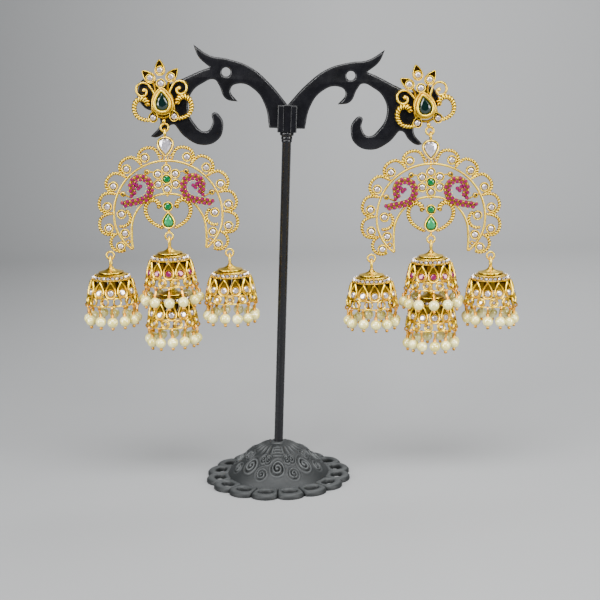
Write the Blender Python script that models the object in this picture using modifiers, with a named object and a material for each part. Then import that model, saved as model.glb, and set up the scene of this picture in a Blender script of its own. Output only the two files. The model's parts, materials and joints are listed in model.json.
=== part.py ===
"""Pair of jhumka earrings on a two-armed display stand.

Metres, +Z up, the viewer at -Y. The origin is the middle of the stand's flat underside.
Each earring is a stud, a crescent that swings under it and four pearl-fringed bells.
"""

import bmesh
import bpy
from math import cos, pi, radians, sin
from mathutils import Matrix, Vector

MM = 0.001

# Air between neighbours, and the distance below which points are one
FIT = 0.15 * MM
SEAT_GAP = 0.3 * MM
WELD = 0.001 * MM

# Sides of round pieces, of small round windows and of thin pins
ROUND_SIDES = 10
WINDOW_SIDES = 8
PIN_SIDES = 6
LINK_WIRE_SIDES = 5

# Stand base
BASE_R = 22.8 * MM
BASE_T = 1.6 * MM
BASE_LOBES = 16
LOBE_DEPTH = 2.1 * MM
DOME_R = 16.2 * MM
DOME_H = 11.4 * MM
DOME_ROOT = 0.7 * MM
WINDOW_W = 4.2 * MM
WINDOW_H = 2.6 * MM

# Pole and socket, along an axis that leans towards +X
LEAN = radians(2.94)
FOOT_X = -0.28 * MM
STAND_H = 109.54 * MM
POLE_R = 1.375 * MM
BORE_DEPTH = 7.0 * MM
COLLAR_R = 2.2 * MM
COLLAR_H = 1.2 * MM
SOCKET_W = 5.8 * MM
SOCKET_H = 7.2 * MM
SOCKET_WALL = 0.9 * MM

# Arms
ARM_T = 2.4 * MM
ARM_REACH = 45.1 * MM
ARM_RISE = 24.2 * MM
ARM_SPLIT = 0.3 * MM
EYE_R = 1.35 * MM

# Wires and links
WIRE_R = 0.3 * MM
LINK_R = 1.15 * MM
LINK_REST = 2 * WIRE_R + FIT
POST_R = 0.45 * MM
POST_TAIL = 3.0 * MM

# Stud
STUD_W = 18.2 * MM
STUD_H = 19.8 * MM
STUD_T = 1.4 * MM
STUD_HANG = 9.0 * MM
STUD_STONE_W = 3.8 * MM
STUD_STONE_H = 5.4 * MM
STONE_T = 1.2 * MM

# Crescent
RIM_R = 16.4 * MM
RIM_W = 0.8 * MM
PLATE_T = 1.3 * MM
PETAL_H = 4.9 * MM
FLOWER_R = 3.05 * MM
WHITE_R = 1.5 * MM
GREEN_R = 1.2 * MM
KUNDAN_W = 4.2 * MM
KUNDAN_H = 5.2 * MM
EMERALD_W = 3.2 * MM
EMERALD_H = 4.3 * MM
BEZEL_W = 0.5 * MM
CREST_SINK = 0.7 * MM
MID_NECK = 0.95 * MM
HEART_R = 0.55 * MM
RUBY_R = 0.75 * MM

# Bells
BELL_R = 7.8 * MM
BELL_H = 11.6 * MM
BELL_WALL = 0.6 * MM
BELL_SIDES = 12
BELL_DROP = 3.5 * MM
TIER_DROP = 12.6 * MM
PEARL_R = 1.6 * MM
PEARL_DROP = 4.1 * MM
FRINGE_R = 7.5 * MM
FRINGE_SPREAD = 0.5 * MM
HOOP_W = 0.6 * MM
HOOP_T = 0.4 * MM
ROD_R = 0.4 * MM

# The arm's edge from its bottom inner corner round the beak, the curl, the tail and the horn,
# as shares of reach and rise; 1 marks a sharp corner
ARM_EDGE = [
    (0.000, 0.008, 1), (0.116, 0.010, 1), (0.148, 0.285, 0), (0.219, 0.471, 0), (0.324, 0.541, 0),
    (0.379, 0.470, 0), (0.330, 0.320, 1), (0.410, 0.353, 0), (0.457, 0.517, 0), (0.486, 0.581, 0),
    (0.563, 0.535, 0), (0.636, 0.415, 0), (0.660, 0.227, 0), (0.615, 0.036, 0), (0.541, -0.058, 0),
    (0.495, 0.045, 0), (0.492, 0.177, 0), (0.437, 0.116, 0), (0.424, -0.020, 0), (0.453, -0.151, 0),
    (0.554, -0.227, 0), (0.672, -0.140, 0), (0.747, 0.017, 1), (0.772, 0.010, 0), (0.812, -0.083, 0),
    (0.869, -0.149, 0), (0.907, -0.140, 1), (0.843, 0.030, 0), (0.874, 0.149, 0), (0.950, 0.215, 0),
    (1.000, 0.400, 0), (0.938, 0.579, 0), (0.820, 0.500, 0), (0.723, 0.562, 0), (0.579, 0.686, 0),
    (0.518, 0.729, 1), (0.594, 0.851, 0), (0.630, 1.000, 1), (0.521, 0.874, 0), (0.404, 0.839, 0),
    (0.252, 0.748, 0), (0.119, 0.556, 0), (0.000, 0.306, 1),
]
EYE_SHARE = (0.411, 0.678)

# Dome section from the top down, as shares of its radius and height
DOME_SECTION = [(0.28, 0.956), (0.55, 0.76), (0.79, 0.48), (0.94, 0.25)]

# Right half of the stud's edge from the top petal down, as shares of half width and height
STUD_EDGE = [
    (0.00, 0.590), (0.16, 0.490), (0.21, 0.420), (0.52, 0.440), (0.49, 0.310), (0.70, 0.295),
    (0.86, 0.200), (0.82, 0.105), (0.72, 0.062), (0.90, 0.045), (1.00, -0.080), (0.97, -0.200),
    (0.80, -0.305), (0.55, -0.345), (0.34, -0.355), (0.17, -0.375),
]
STUD_CURL = (0.610, 0.178, 0.13)
STUD_LOOP = (0.740, -0.120, 0.17, 0.26)

# A petal's edge and its window, as degrees from its stone and shares of the petal's height
PETAL_STEP = 20.4
PETAL_FIRST = 20.0
PETAL_COUNT = 5
PETAL_EDGE = [(-14.0, 0.10), (-11.0, 0.74), (-5.0, 1.00), (3.0, 0.90)]
PETAL_WINDOW = [(-12.2, 0.24), (-9.6, 0.68), (-4.8, 0.78), (-5.0, 0.24)]

# All in shares of the rim's radius: the little crest under the kundan stone, the bay's radius and
# the height of its middle, and the heights of the flower and the emerald
CREST = [(0.000, 1.100), (0.060, 1.040)]
BAY = (0.689, -0.293)
FLOWER_SHARE = 0.662
EMERALD_SHARE = -0.098
# The horn under the last petal, in shares of the rim's radius: its edge from the last petal to
# the tip, then the inner edge up to the bay, and its three windows
HORN_EDGE = [(0.985, -0.300), (1.085, -0.385), (1.115, -0.510), (1.075, -0.675), (0.910, -0.665),
             (0.820, -0.590), (0.680, -0.645), (0.640, -0.500)]
HOOK_CORNER = HORN_EDGE[3]
HORN_WINDOWS = [
    [(0.860, -0.075), (0.930, -0.130), (0.930, -0.215), (0.780, -0.215), (0.735, -0.120)],
    [(0.985, -0.390), (1.045, -0.430), (1.050, -0.540), (0.990, -0.500), (0.930, -0.455)],
]
# The large window beside the flower, also in shares of the rim's radius
SIDE_WINDOW = [
    (0.305, 0.900), (0.505, 0.800), (0.680, 0.655), (0.815, 0.460), (0.900, 0.240), (0.860, 0.120),
    (0.655, 0.050), (0.600, 0.130), (0.475, 0.265), (0.350, 0.345), (0.290, 0.385), (0.300, 0.750),
]
# Centre lines of the ruby motif and of the heart's right half, in shares of the rim's radius
RUBY_LINE = [
    (0.845, 0.215), (0.628, 0.252), (0.409, 0.305), (0.335, 0.410), (0.325, 0.560), (0.390, 0.675),
    (0.500, 0.712), (0.610, 0.665), (0.655, 0.545), (0.628, 0.385),
]
HEART_LINE = [
    (0.260, -0.165), (0.375, -0.020), (0.400, 0.150), (0.300, 0.290), (0.190, 0.250), (0.160, 0.150),
]
# Where the heart's wires leave the emerald's setting, as shares of its half width and half height
HEART_ROOT = (0.735, -0.745)

# Bell section below the cap's top, as shares of its radius and height; 1 starts the pierced row
BELL_SECTION = [
    (0.00, 0.00, 0), (0.47, 0.13, 0), (0.69, 0.18, 0), (0.80, 0.38, 1), (0.95, 0.78, 0), (1.00, 1.00, 0),
]

# Pearl section under its tapering wire, as shares of the pearl's radius
PEARL_SECTION = [(0.82, 0.57), (0.94, -0.35)]

# Places in the crescent's plane that follow from its sizes
FLOWER_H = FLOWER_SHARE * RIM_R
EMERALD_Z = EMERALD_SHARE * RIM_R
SETTING_W = FIT + BEZEL_W
KUNDAN_Z = CREST[0][1] * RIM_R - CREST_SINK + SETTING_W + KUNDAN_H / 2
CRESCENT_DROP = KUNDAN_Z + KUNDAN_H / 2 + SETTING_W - WIRE_R + 2 * LINK_R - LINK_REST
MID_HOOK_Z = EMERALD_Z - EMERALD_H / 2 - SETTING_W - MID_NECK - LINK_R
SIDE_HOOK_X = HOOK_CORNER[0] * RIM_R + 0.45 * LINK_R
SIDE_HOOK_Z = HOOK_CORNER[1] * RIM_R - 0.81 * LINK_R

# Each earring: which side, where its post goes as shares of reach and rise, and its stud's turn
EARRINGS = [("left", -1, 0.825, 0.306, radians(2.1)), ("right", 1, 0.902, 0.350, radians(12.0))]

UPRIGHT = Matrix.Rotation(pi / 2, 4, "X")
HEAD = Matrix.Translation((FOOT_X, 0, 0)) @ Matrix.Rotation(LEAN, 4, "Y")


def clear_scene():
    """Empty the file, so that the model is all it holds."""
    for old in list(bpy.data.objects):
        bpy.data.objects.remove(old, do_unlink=True)


def make_collection(name):
    """Add a collection to the scene."""
    collection = bpy.data.collections.new(name)
    bpy.context.scene.collection.children.link(collection)
    return collection


def finish_material(name, colour, roughness, metallic):
    """A Principled material of one colour."""
    material = bpy.data.materials.new(name)
    material.use_nodes = True
    shader = material.node_tree.nodes["Principled BSDF"]
    shader.inputs["Base Color"].default_value = (*colour, 1.0)
    shader.inputs["Roughness"].default_value = roughness
    shader.inputs["Metallic"].default_value = metallic
    return material


JOINS = []
clear_scene()
PARTS = make_collection("jhumka_pair")
TOOLS = make_collection("cutters")
GOLD = finish_material("antique_gold", (0.72, 0.50, 0.16), 0.3, 1.0)
BLACK = finish_material("black_gloss", (0.012, 0.012, 0.014), 0.2, 0.0)
CAST = finish_material("dark_cast", (0.05, 0.05, 0.055), 0.5, 0.6)
PEARL = finish_material("cream_pearl", (0.85, 0.82, 0.60), 0.2, 0.0)
RUBY = finish_material("ruby", (0.55, 0.03, 0.20), 0.15, 0.0)
GREEN = finish_material("green_stone", (0.02, 0.30, 0.12), 0.1, 0.0)
DARK_GREEN = finish_material("dark_green_stone", (0.01, 0.08, 0.05), 0.1, 0.0)
CLEAR = finish_material("clear_stone", (0.80, 0.78, 0.82), 0.1, 0.0)


def add(name, data, collection=TOOLS):
    """Add an object at the origin; what is not a part is a hidden tool."""
    obj = bpy.data.objects.new(name, data)
    collection.objects.link(obj)
    if collection is TOOLS:
        obj.hide_render = True
        obj.display_type = "WIRE"
    return obj


def as_mesh(obj):
    """Turn what a curve or its modifiers show into a welded mesh in the same place."""
    bpy.context.view_layer.update()
    shown = obj.evaluated_get(bpy.context.evaluated_depsgraph_get())
    mesh = bpy.data.meshes.new_from_object(shown)
    bm = bmesh.new()
    bm.from_mesh(mesh)
    bmesh.ops.remove_doubles(bm, verts=bm.verts, dist=WELD)
    bmesh.ops.recalc_face_normals(bm, faces=bm.faces)
    bm.to_mesh(mesh)
    bm.free()
    plain = add(obj.name, mesh)
    plain.matrix_world = obj.matrix_world.copy()
    bpy.data.objects.remove(obj, do_unlink=True)
    return plain


def plate(loops, thickness, place=Matrix.Identity(4), smooth=0):
    """An upright flat plate: the first loop is its edge, the others its windows.

    A loop is a list of (x, z) or, when smooth, of (x, z, corner) read by a Bezier spline.
    """
    curve = bpy.data.curves.new("plate", "CURVE")
    curve.dimensions = "2D"
    curve.fill_mode = "BOTH"
    curve.extrude = thickness / 2
    for index, loop in enumerate(loops):
        if smooth and index == 0:
            spline = curve.splines.new("BEZIER")
            spline.resolution_u = smooth
            spline.bezier_points.add(len(loop) - 1)
            for point, (x, z, corner) in zip(spline.bezier_points, loop):
                point.co = (x, z, 0)
                point.handle_left_type = "VECTOR" if corner else "AUTO"
                point.handle_right_type = point.handle_left_type
        else:
            spline = curve.splines.new("POLY")
            spline.points.add(len(loop) - 1)
            for point, (x, z) in zip(spline.points, loop):
                point.co = (x, z, 0, 1)
        spline.use_cyclic_u = True
    obj = add("plate", curve)
    obj.matrix_world = place @ UPRIGHT
    return as_mesh(obj)


def wire(points, radius, place=Matrix.Identity(4), six=True):
    """A wire of six or four sides through its points, with closed ends."""
    curve = bpy.data.curves.new("wire", "CURVE")
    curve.dimensions = "3D"
    curve.bevel_depth = radius
    curve.bevel_resolution = 1 if six else 0
    curve.use_fill_caps = True
    spline = curve.splines.new("POLY")
    spline.points.add(len(points) - 1)
    for point, place_at in zip(spline.points, points):
        point.co = (*place_at, 1)
    obj = add("wire", curve)
    obj.matrix_world = place
    return as_mesh(obj)


def turned(section, sides, place=Matrix.Identity(4), phase=0.0):
    """Turn an (r, z) section, listed top to bottom, about the local Z axis."""
    mesh = bpy.data.meshes.new("turned")
    edges = [(i, i + 1) for i in range(len(section) - 1)]
    mesh.from_pydata([(r * cos(phase), r * sin(phase), z) for r, z in section], edges, [])
    obj = add("turned", mesh)
    obj.matrix_world = place
    screw = obj.modifiers.new("turn", "SCREW")
    screw.steps = sides
    screw.render_steps = sides
    screw.use_merge_vertices = True
    screw.merge_threshold = WELD
    return as_mesh(obj)


def link(centre, radius, along, place=Matrix.Identity(4)):
    """A closed round link of ten sides whose hole looks along X or Y."""
    turn = Matrix.Rotation(pi / 2, 4, "Y" if along == "X" else "X")
    bm = bmesh.new()
    ring = bmesh.ops.create_circle(bm, segments=LINK_WIRE_SIDES, radius=WIRE_R)["verts"]
    bmesh.ops.rotate(bm, verts=ring, matrix=Matrix.Rotation(pi / 2, 3, "X"))
    bmesh.ops.translate(bm, verts=ring, vec=(radius, 0, 0))
    bmesh.ops.spin(bm, geom=bm.verts[:] + bm.edges[:], cent=(0, 0, 0), axis=(0, 0, 1),
                   angle=2 * pi, steps=ROUND_SIDES, use_merge=True)
    bmesh.ops.remove_doubles(bm, verts=bm.verts, dist=WELD)
    bmesh.ops.recalc_face_normals(bm, faces=bm.faces)
    mesh = bpy.data.meshes.new("link")
    bm.to_mesh(mesh)
    bm.free()
    obj = add("link", mesh)
    obj.matrix_world = place @ Matrix.Translation(centre) @ turn
    return obj


def cylinder(radius, start, end, sides, place=Matrix.Identity(4)):
    """A straight round bar between two points."""
    axis = Vector(end) - Vector(start)
    bm = bmesh.new()
    bmesh.ops.create_cone(bm, cap_ends=True, segments=sides, radius1=radius, radius2=radius,
                          depth=axis.length)
    mesh = bpy.data.meshes.new("bar")
    bm.to_mesh(mesh)
    bm.free()
    obj = add("bar", mesh)
    turn = axis.to_track_quat("Z", "Y").to_matrix().to_4x4()
    obj.matrix_world = place @ Matrix.Translation((Vector(start) + Vector(end)) / 2) @ turn
    return obj


def fuse(name, pieces, material, parent, cuts=()):
    """Make one part of the pieces and note its union and cuts, which join_all puts on it."""
    base = pieces[0]
    TOOLS.objects.unlink(base)
    PARTS.objects.link(base)
    base.hide_render = False
    base.display_type = "TEXTURED"
    base.name = name
    base.data.name = name
    base.data.materials.clear()
    base.data.materials.append(material)
    for operation, group in (("UNION", pieces[1:]), ("DIFFERENCE", cuts)):
        if not group:
            continue
        others = bpy.data.collections.new(f"{name}_{operation.lower()}")
        TOOLS.children.link(others)
        for piece in group:
            TOOLS.objects.unlink(piece)
            others.objects.link(piece)
        JOINS.append((base, operation, others))
    if parent is not None:
        place = base.matrix_world.copy()
        base.parent = parent
        base.matrix_world = place
    return base


def join_all():
    """Put the Boolean modifiers on once every piece is in place, so that each runs once."""
    for base, operation, others in JOINS:
        boolean = base.modifiers.new(operation.lower(), "BOOLEAN")
        boolean.operation = operation
        boolean.operand_type = "COLLECTION"
        boolean.collection = others


def pivot(name, at, parent=None):
    """An empty on a joint's axis, which carries the moving pieces."""
    empty = bpy.data.objects.new(name, None)
    empty.empty_display_size = LINK_R
    PARTS.objects.link(empty)
    empty.matrix_world = Matrix.Translation(at)
    bpy.context.view_layer.update()
    if parent is not None:
        place = empty.matrix_world.copy()
        empty.parent = parent
        empty.matrix_world = place
        bpy.context.view_layer.update()
    return empty


def mirrored(loop):
    """The same loop on the other side of X = 0."""
    return [(-point[0], *point[1:]) for point in loop]


def polar(degrees, radius):
    """A point at an angle from straight up, turning towards +X."""
    return radius * sin(radians(degrees)), radius * cos(radians(degrees))


def ellipse(cx, cz, half_w, half_h, count):
    """Points round an upright ellipse."""
    return [(cx + half_w * cos(2 * pi * i / count), cz + half_h * sin(2 * pi * i / count))
            for i in range(count)]


def pear(cz, width, height, tip, count=10):
    """A drop outline, its tip up (1) or down (-1): x = w sin a sin(a/2), z = h cos a."""
    widest = 0.77
    angles = [2 * pi * i / count for i in range(count)]
    return [(width / 2 * sin(a) * abs(sin(a / 2)) / widest, cz + tip * height / 2 * cos(a))
            for a in angles]


def gem(name, outline, depth, material, parent, place):
    """A cut stone: a flat back, an upright girdle and a sloping crown under a flat table."""
    bm = bmesh.new()
    face = bm.faces.new([bm.verts.new((x, 0, z)) for x, z in outline])
    middle = face.calc_center_median()
    for step, share in ((0.5, 1.0), (0.5, 0.62)):
        raised = bmesh.ops.extrude_face_region(bm, geom=[face])["geom"]
        verts = [item for item in raised if isinstance(item, bmesh.types.BMVert)]
        old = face
        face = next(item for item in raised if isinstance(item, bmesh.types.BMFace))
        if step and share < 1.0:
            bm.faces.remove(old)
        for vert in verts:
            vert.co.x = middle.x + (vert.co.x - middle.x) * share
            vert.co.z = middle.z + (vert.co.z - middle.z) * share
            vert.co.y -= depth * step
    bmesh.ops.recalc_face_normals(bm, faces=bm.faces)
    mesh = bpy.data.meshes.new(name)
    bm.to_mesh(mesh)
    bm.free()
    obj = add(name, mesh)
    obj.matrix_world = place @ Matrix.Translation((0, depth / 2, 0))
    return fuse(name, [obj], material, parent)


def stand_base():
    """The scalloped, pierced foot with its stepped dome and the bore for the pole."""
    per_lobe = 3
    edge = []
    for i in range(BASE_LOBES * per_lobe):
        swell = abs(sin(pi * i / per_lobe)) ** 0.5
        turn = 2 * pi * i / (BASE_LOBES * per_lobe) - pi / 2
        radius = BASE_R - LOBE_DEPTH * (1 - swell)
        edge.append((radius * cos(turn), radius * sin(turn)))
    loops = [edge]
    ring_r = (DOME_R + BASE_R - LOBE_DEPTH) / 2
    for i in range(BASE_LOBES):
        turn = 2 * pi * (i + 0.5) / BASE_LOBES - pi / 2
        across = ellipse(0, 0, WINDOW_H / 2, WINDOW_W / 2, 5)
        loops.append([((ring_r + u) * cos(turn) - v * sin(turn), (ring_r + u) * sin(turn) + v * cos(turn))
                      for u, v in across])
    lying = Matrix.Translation((0, 0, BASE_T / 2)) @ UPRIGHT.inverted()
    disc = plate(loops, BASE_T, lying)
    section = [(0, DOME_H)] + [(r * DOME_R, z * DOME_H) for r, z in DOME_SECTION]
    dome = turned(section + [(DOME_R, DOME_ROOT), (0, DOME_ROOT)], 16)
    bore = cylinder(POLE_R + SEAT_GAP, (0, 0, DOME_H - BORE_DEPTH), (0, 0, 2 * DOME_H), 12, HEAD)
    fuse("stand_base", [disc, dome], CAST, None, [bore])


def stand_post():
    """The leaning pole, its collars and the slotted socket for the arms."""
    floor = STAND_H - SOCKET_WALL
    foot = DOME_H - BORE_DEPTH + SEAT_GAP
    inside = floor + SOCKET_WALL / 2
    section = [(0, inside), (POLE_R, inside), (POLE_R, floor - COLLAR_H / 2), (COLLAR_R, floor - COLLAR_H),
               (COLLAR_R, floor - 2 * COLLAR_H), (POLE_R, floor - 3 * COLLAR_H), (POLE_R, foot), (0, foot)]
    pole = turned(section, 12, HEAD)
    slot = ARM_T / 2 + FIT
    out = slot + SOCKET_WALL
    low = STAND_H - SOCKET_WALL
    high = STAND_H + SOCKET_H
    channel = [(-out, low), (out, low), (out, high), (slot, high), (slot, STAND_H),
               (-slot, STAND_H), (-slot, high), (-out, high)]
    socket = plate([channel], SOCKET_W, HEAD @ Matrix.Rotation(pi / 2, 4, "Z"))
    fuse("stand_post", [socket, pole], BLACK, None)


def arm_point(side, share_u, share_v):
    """A point of the arms' plane in the leaning frame."""
    return side * (ARM_SPLIT / 2 + share_u * (ARM_REACH - ARM_SPLIT / 2)), share_v * ARM_RISE


def stand_arm(name, side, share_u, share_v):
    """One scrolled arm with its round eye and the hole for the earring's post."""
    edge = [(*arm_point(side, u, v), corner) for u, v, corner in ARM_EDGE]
    eye = ellipse(*arm_point(side, *EYE_SHARE), EYE_R, EYE_R, ROUND_SIDES)
    hole_r = POST_R + SEAT_GAP
    hole = ellipse(*arm_point(side, share_u, share_v), hole_r, hole_r, WINDOW_SIDES)
    obj = plate([edge, eye, hole], ARM_T, HEAD @ Matrix.Translation((0, 0, STAND_H)), smooth=2)
    fuse(f"stand_arm_{name}", [obj], BLACK, None)


def stud(name, place, back):
    """The stud's pierced plate, its post through the arm, the ring below and its dark stone."""
    half = [(x * STUD_W / 2, z * STUD_H) for x, z in STUD_EDGE]
    half.append((0, -STUD_HANG + LINK_REST + WIRE_R + SEAT_GAP + FIT))
    edge = half + mirrored(half[1:-1])[::-1]
    curl = ellipse(STUD_CURL[0] * STUD_W / 2, STUD_CURL[1] * STUD_H, STUD_CURL[2] * STUD_W / 2,
                   STUD_CURL[2] * STUD_W / 2, WINDOW_SIDES)
    loop = ellipse(STUD_LOOP[0] * STUD_W / 2, STUD_LOOP[1] * STUD_H, STUD_LOOP[2] * STUD_W / 2,
                   STUD_LOOP[3] * STUD_H / 2, WINDOW_SIDES)
    body = plate([edge, curl, mirrored(curl), loop, mirrored(loop)], STUD_T, place)
    rim = 2 * SETTING_W
    raised = place @ Matrix.Translation((0, -(STUD_T + STONE_T) / 2, 0))
    collar = plate([pear(0, STUD_STONE_W + rim, STUD_STONE_H + rim, 1),
                    pear(0, STUD_STONE_W + 2 * FIT, STUD_STONE_H + 2 * FIT, 1)], STONE_T + 2 * FIT, raised)
    post = cylinder(POST_R, (0, 0, 0), (0, back, 0), WINDOW_SIDES, place)
    ring = link((0, 0, -STUD_HANG + LINK_R), LINK_R, "Y", place)
    neck = cylinder(2 * WIRE_R, (0, 0, -STUD_HANG + 2 * LINK_R), (0, 0, -STUD_HANG + 3 * LINK_R),
                    PIN_SIDES, place)
    fuse(f"{name}_stud_frame", [body, collar, post, ring, neck], GOLD, None)
    seated = raised @ Matrix.Translation((0, -FIT, 0))
    gem(f"{name}_stud_stone", pear(0, STUD_STONE_W, STUD_STONE_H, 1), STONE_T, DARK_GREEN, None, seated)


def crescent_edge():
    """The crescent's outer edge with its petals, then the horns and the bay, and its windows."""
    half = [(x * RIM_R, z * RIM_R) for x, z in CREST]
    windows = []
    for k in range(PETAL_COUNT):
        stone = PETAL_FIRST + PETAL_STEP * k
        half += [polar(stone + a, RIM_R + h * PETAL_H) for a, h in PETAL_EDGE]
        windows.append([polar(stone + a, RIM_R + h * PETAL_H) for a, h in PETAL_WINDOW])
    half += [(x * RIM_R, z * RIM_R) for x, z in HORN_EDGE]
    bay = BAY[0] * RIM_R - RIM_W / 2
    bay_z = BAY[1] * RIM_R
    half += [(bay * cos(pi * i / 12), bay_z + bay * sin(pi * i / 12)) for i in range(6)]
    top = [(0, bay + bay_z)]
    windows += [[(x * RIM_R, z * RIM_R) for x, z in loop] for loop in HORN_WINDOWS + [SIDE_WINDOW]]
    edge = half + top + mirrored(half[1:])[::-1]
    middle = ellipse(0, FLOWER_H, GREEN_R + SETTING_W, GREEN_R + SETTING_W, ROUND_SIDES)
    return [edge, middle] + windows + [mirrored(loop) for loop in windows]


def bezel(outline, seat, place):
    """A setting a little thicker than the plate, open where its stone sits."""
    return plate([outline, seat], PLATE_T + 2 * FIT, place)


def crescent(name, place, parent):
    """The pierced crescent with its settings, heart scroll, link and hook rings, and its stones."""
    seat_w = 2 * FIT
    rim_w = 2 * SETTING_W
    body = plate(crescent_edge(), PLATE_T, place)
    kundan = bezel(pear(KUNDAN_Z, KUNDAN_W + rim_w, KUNDAN_H + rim_w, -1),
                   pear(KUNDAN_Z, KUNDAN_W + seat_w, KUNDAN_H + seat_w, -1), place)
    petals = [(FLOWER_R + WHITE_R * (0.9 if i % 3 else 0.45)) for i in range(18)]
    flower = [(r * sin(pi * (i - 1.5) / 9), FLOWER_H + r * cos(pi * (i - 1.5) / 9))
              for i, r in enumerate(petals)]
    flower = bezel(flower, ellipse(0, FLOWER_H, GREEN_R + FIT, GREEN_R + FIT, ROUND_SIDES), place)
    small_z = EMERALD_Z + EMERALD_H / 2 + SETTING_W + FIT + GREEN_R
    small = bezel(ellipse(0, small_z, GREEN_R + SETTING_W, GREEN_R + SETTING_W, ROUND_SIDES),
                  ellipse(0, small_z, GREEN_R + FIT, GREEN_R + FIT, ROUND_SIDES), place)
    drop = bezel(pear(EMERALD_Z, EMERALD_W + rim_w, EMERALD_H + rim_w, 1),
                 pear(EMERALD_Z, EMERALD_W + seat_w, EMERALD_H + seat_w, 1), place)
    heart = [(HEART_ROOT[0] * (EMERALD_W / 2 + SETTING_W), 0,
              EMERALD_Z + HEART_ROOT[1] * (EMERALD_H / 2 + SETTING_W))]
    heart += [(x * RIM_R, 0, z * RIM_R) for x, z in HEART_LINE]
    pieces = [body, kundan, flower, small, drop, wire(heart, HEART_R, place, six=False),
              wire(mirrored(heart), HEART_R, place, six=False)]
    pieces.append(link((0, 0, CRESCENT_DROP + LINK_REST - LINK_R), LINK_R, "X", place))
    pieces.append(cylinder(2 * WIRE_R, (0, 0, MID_HOOK_Z + LINK_R), (0, 0, EMERALD_Z - EMERALD_H / 2 - FIT),
                           PIN_SIDES, place))
    for x, z in ((-SIDE_HOOK_X, SIDE_HOOK_Z), (SIDE_HOOK_X, SIDE_HOOK_Z), (0, MID_HOOK_Z)):
        pieces.append(link((x, 0, z), LINK_R, "Y", place))
    fuse(f"{name}_crescent_frame", pieces, GOLD, parent)
    gem(f"{name}_kundan", pear(KUNDAN_Z, KUNDAN_W, KUNDAN_H, -1), PLATE_T, CLEAR, parent, place)
    gem(f"{name}_emerald", pear(EMERALD_Z, EMERALD_W, EMERALD_H, 1), PLATE_T, GREEN, parent, place)
    for stone, z in (("flower_green", FLOWER_H), ("small_green", small_z)):
        gem(f"{name}_{stone}", ellipse(0, z, GREEN_R, GREEN_R, ROUND_SIDES), PLATE_T, GREEN, parent, place)
    front = -(PLATE_T / 2 + FIT + RUBY_R)
    for half, line in (("left", mirrored(RUBY_LINE)), ("right", RUBY_LINE)):
        path = [(x * RIM_R, front, z * RIM_R) for x, z in line]
        fuse(f"{name}_ruby_{half}", [wire(path, RUBY_R, place, six=False)], RUBY, parent)


def bell(name, hook, parent, spread=0.0, rod=None):
    """A pierced bell on its loop, and its fringe of pearls on a hoop below the rim.

    hook is the middle of the ring that carries it. rod is how far below the hook the inner
    ring for a lower bell hangs.
    """
    top = -BELL_DROP
    section = [(r * BELL_R, top - z * BELL_H) for r, z, pierced in BELL_SECTION]
    row = [pierced for r, z, pierced in BELL_SECTION].index(1)
    place = Matrix.Translation(hook)
    shell = turned(section, BELL_SIDES, place)
    bm = bmesh.new()
    bm.from_mesh(shell.data)
    in_row = [f for f in bm.faces if section[row + 1][1] < f.calc_center_median().z < section[row][1]]
    in_row.sort(key=lambda f: Vector((1, 0)).angle_signed(f.calc_center_median().to_2d()))
    bmesh.ops.delete(bm, geom=in_row[::2], context="FACES")
    bm.to_mesh(shell.data)
    bm.free()
    wall = shell.modifiers.new("wall", "SOLIDIFY")
    wall.thickness = BELL_WALL
    wall.offset = -1
    loop_r = (BELL_DROP + WIRE_R - LINK_R + LINK_REST) / 2
    loop_z = top - WIRE_R + loop_r
    pieces = [shell, link((0, 0, loop_z), loop_r, "X", place)]
    if rod is not None:
        pieces.append(cylinder(ROD_R, (0, 0, top - BELL_WALL / 2), (0, 0, -rod + LINK_R), PIN_SIDES, place))
        pieces.append(link((0, 0, -rod), LINK_R, "Y", place))
    fuse(f"{name}_bell", pieces, GOLD, parent)
    rim = top - BELL_H - FIT
    ring_r = FRINGE_R + spread
    hoop = [(ring_r - HOOP_W / 2, rim), (ring_r + HOOP_W / 2, rim), (ring_r + HOOP_W / 2, rim - HOOP_T),
            (ring_r - HOOP_W / 2, rim - HOOP_T), (ring_r - HOOP_W / 2, rim)]
    pearls = [turned(hoop, BELL_SIDES, place)]
    centre_z = top - BELL_H - PEARL_DROP
    tip = rim - HOOP_T / 2 - centre_z
    drop = [(0, tip)] + [(r * PEARL_R, z * PEARL_R) for r, z in PEARL_SECTION] + [(0, -PEARL_R)]
    first = turned(drop, ROUND_SIDES)
    for i in range(BELL_SIDES):
        turn = 2 * pi * i / BELL_SIDES
        pearl = add("pearl", first.data) if i else first
        pearl.matrix_world = place @ Matrix.Translation((ring_r * cos(turn), ring_r * sin(turn), centre_z))
        pearls.append(pearl)
    fuse(f"{name}_pearls", pearls, PEARL, parent)


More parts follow.
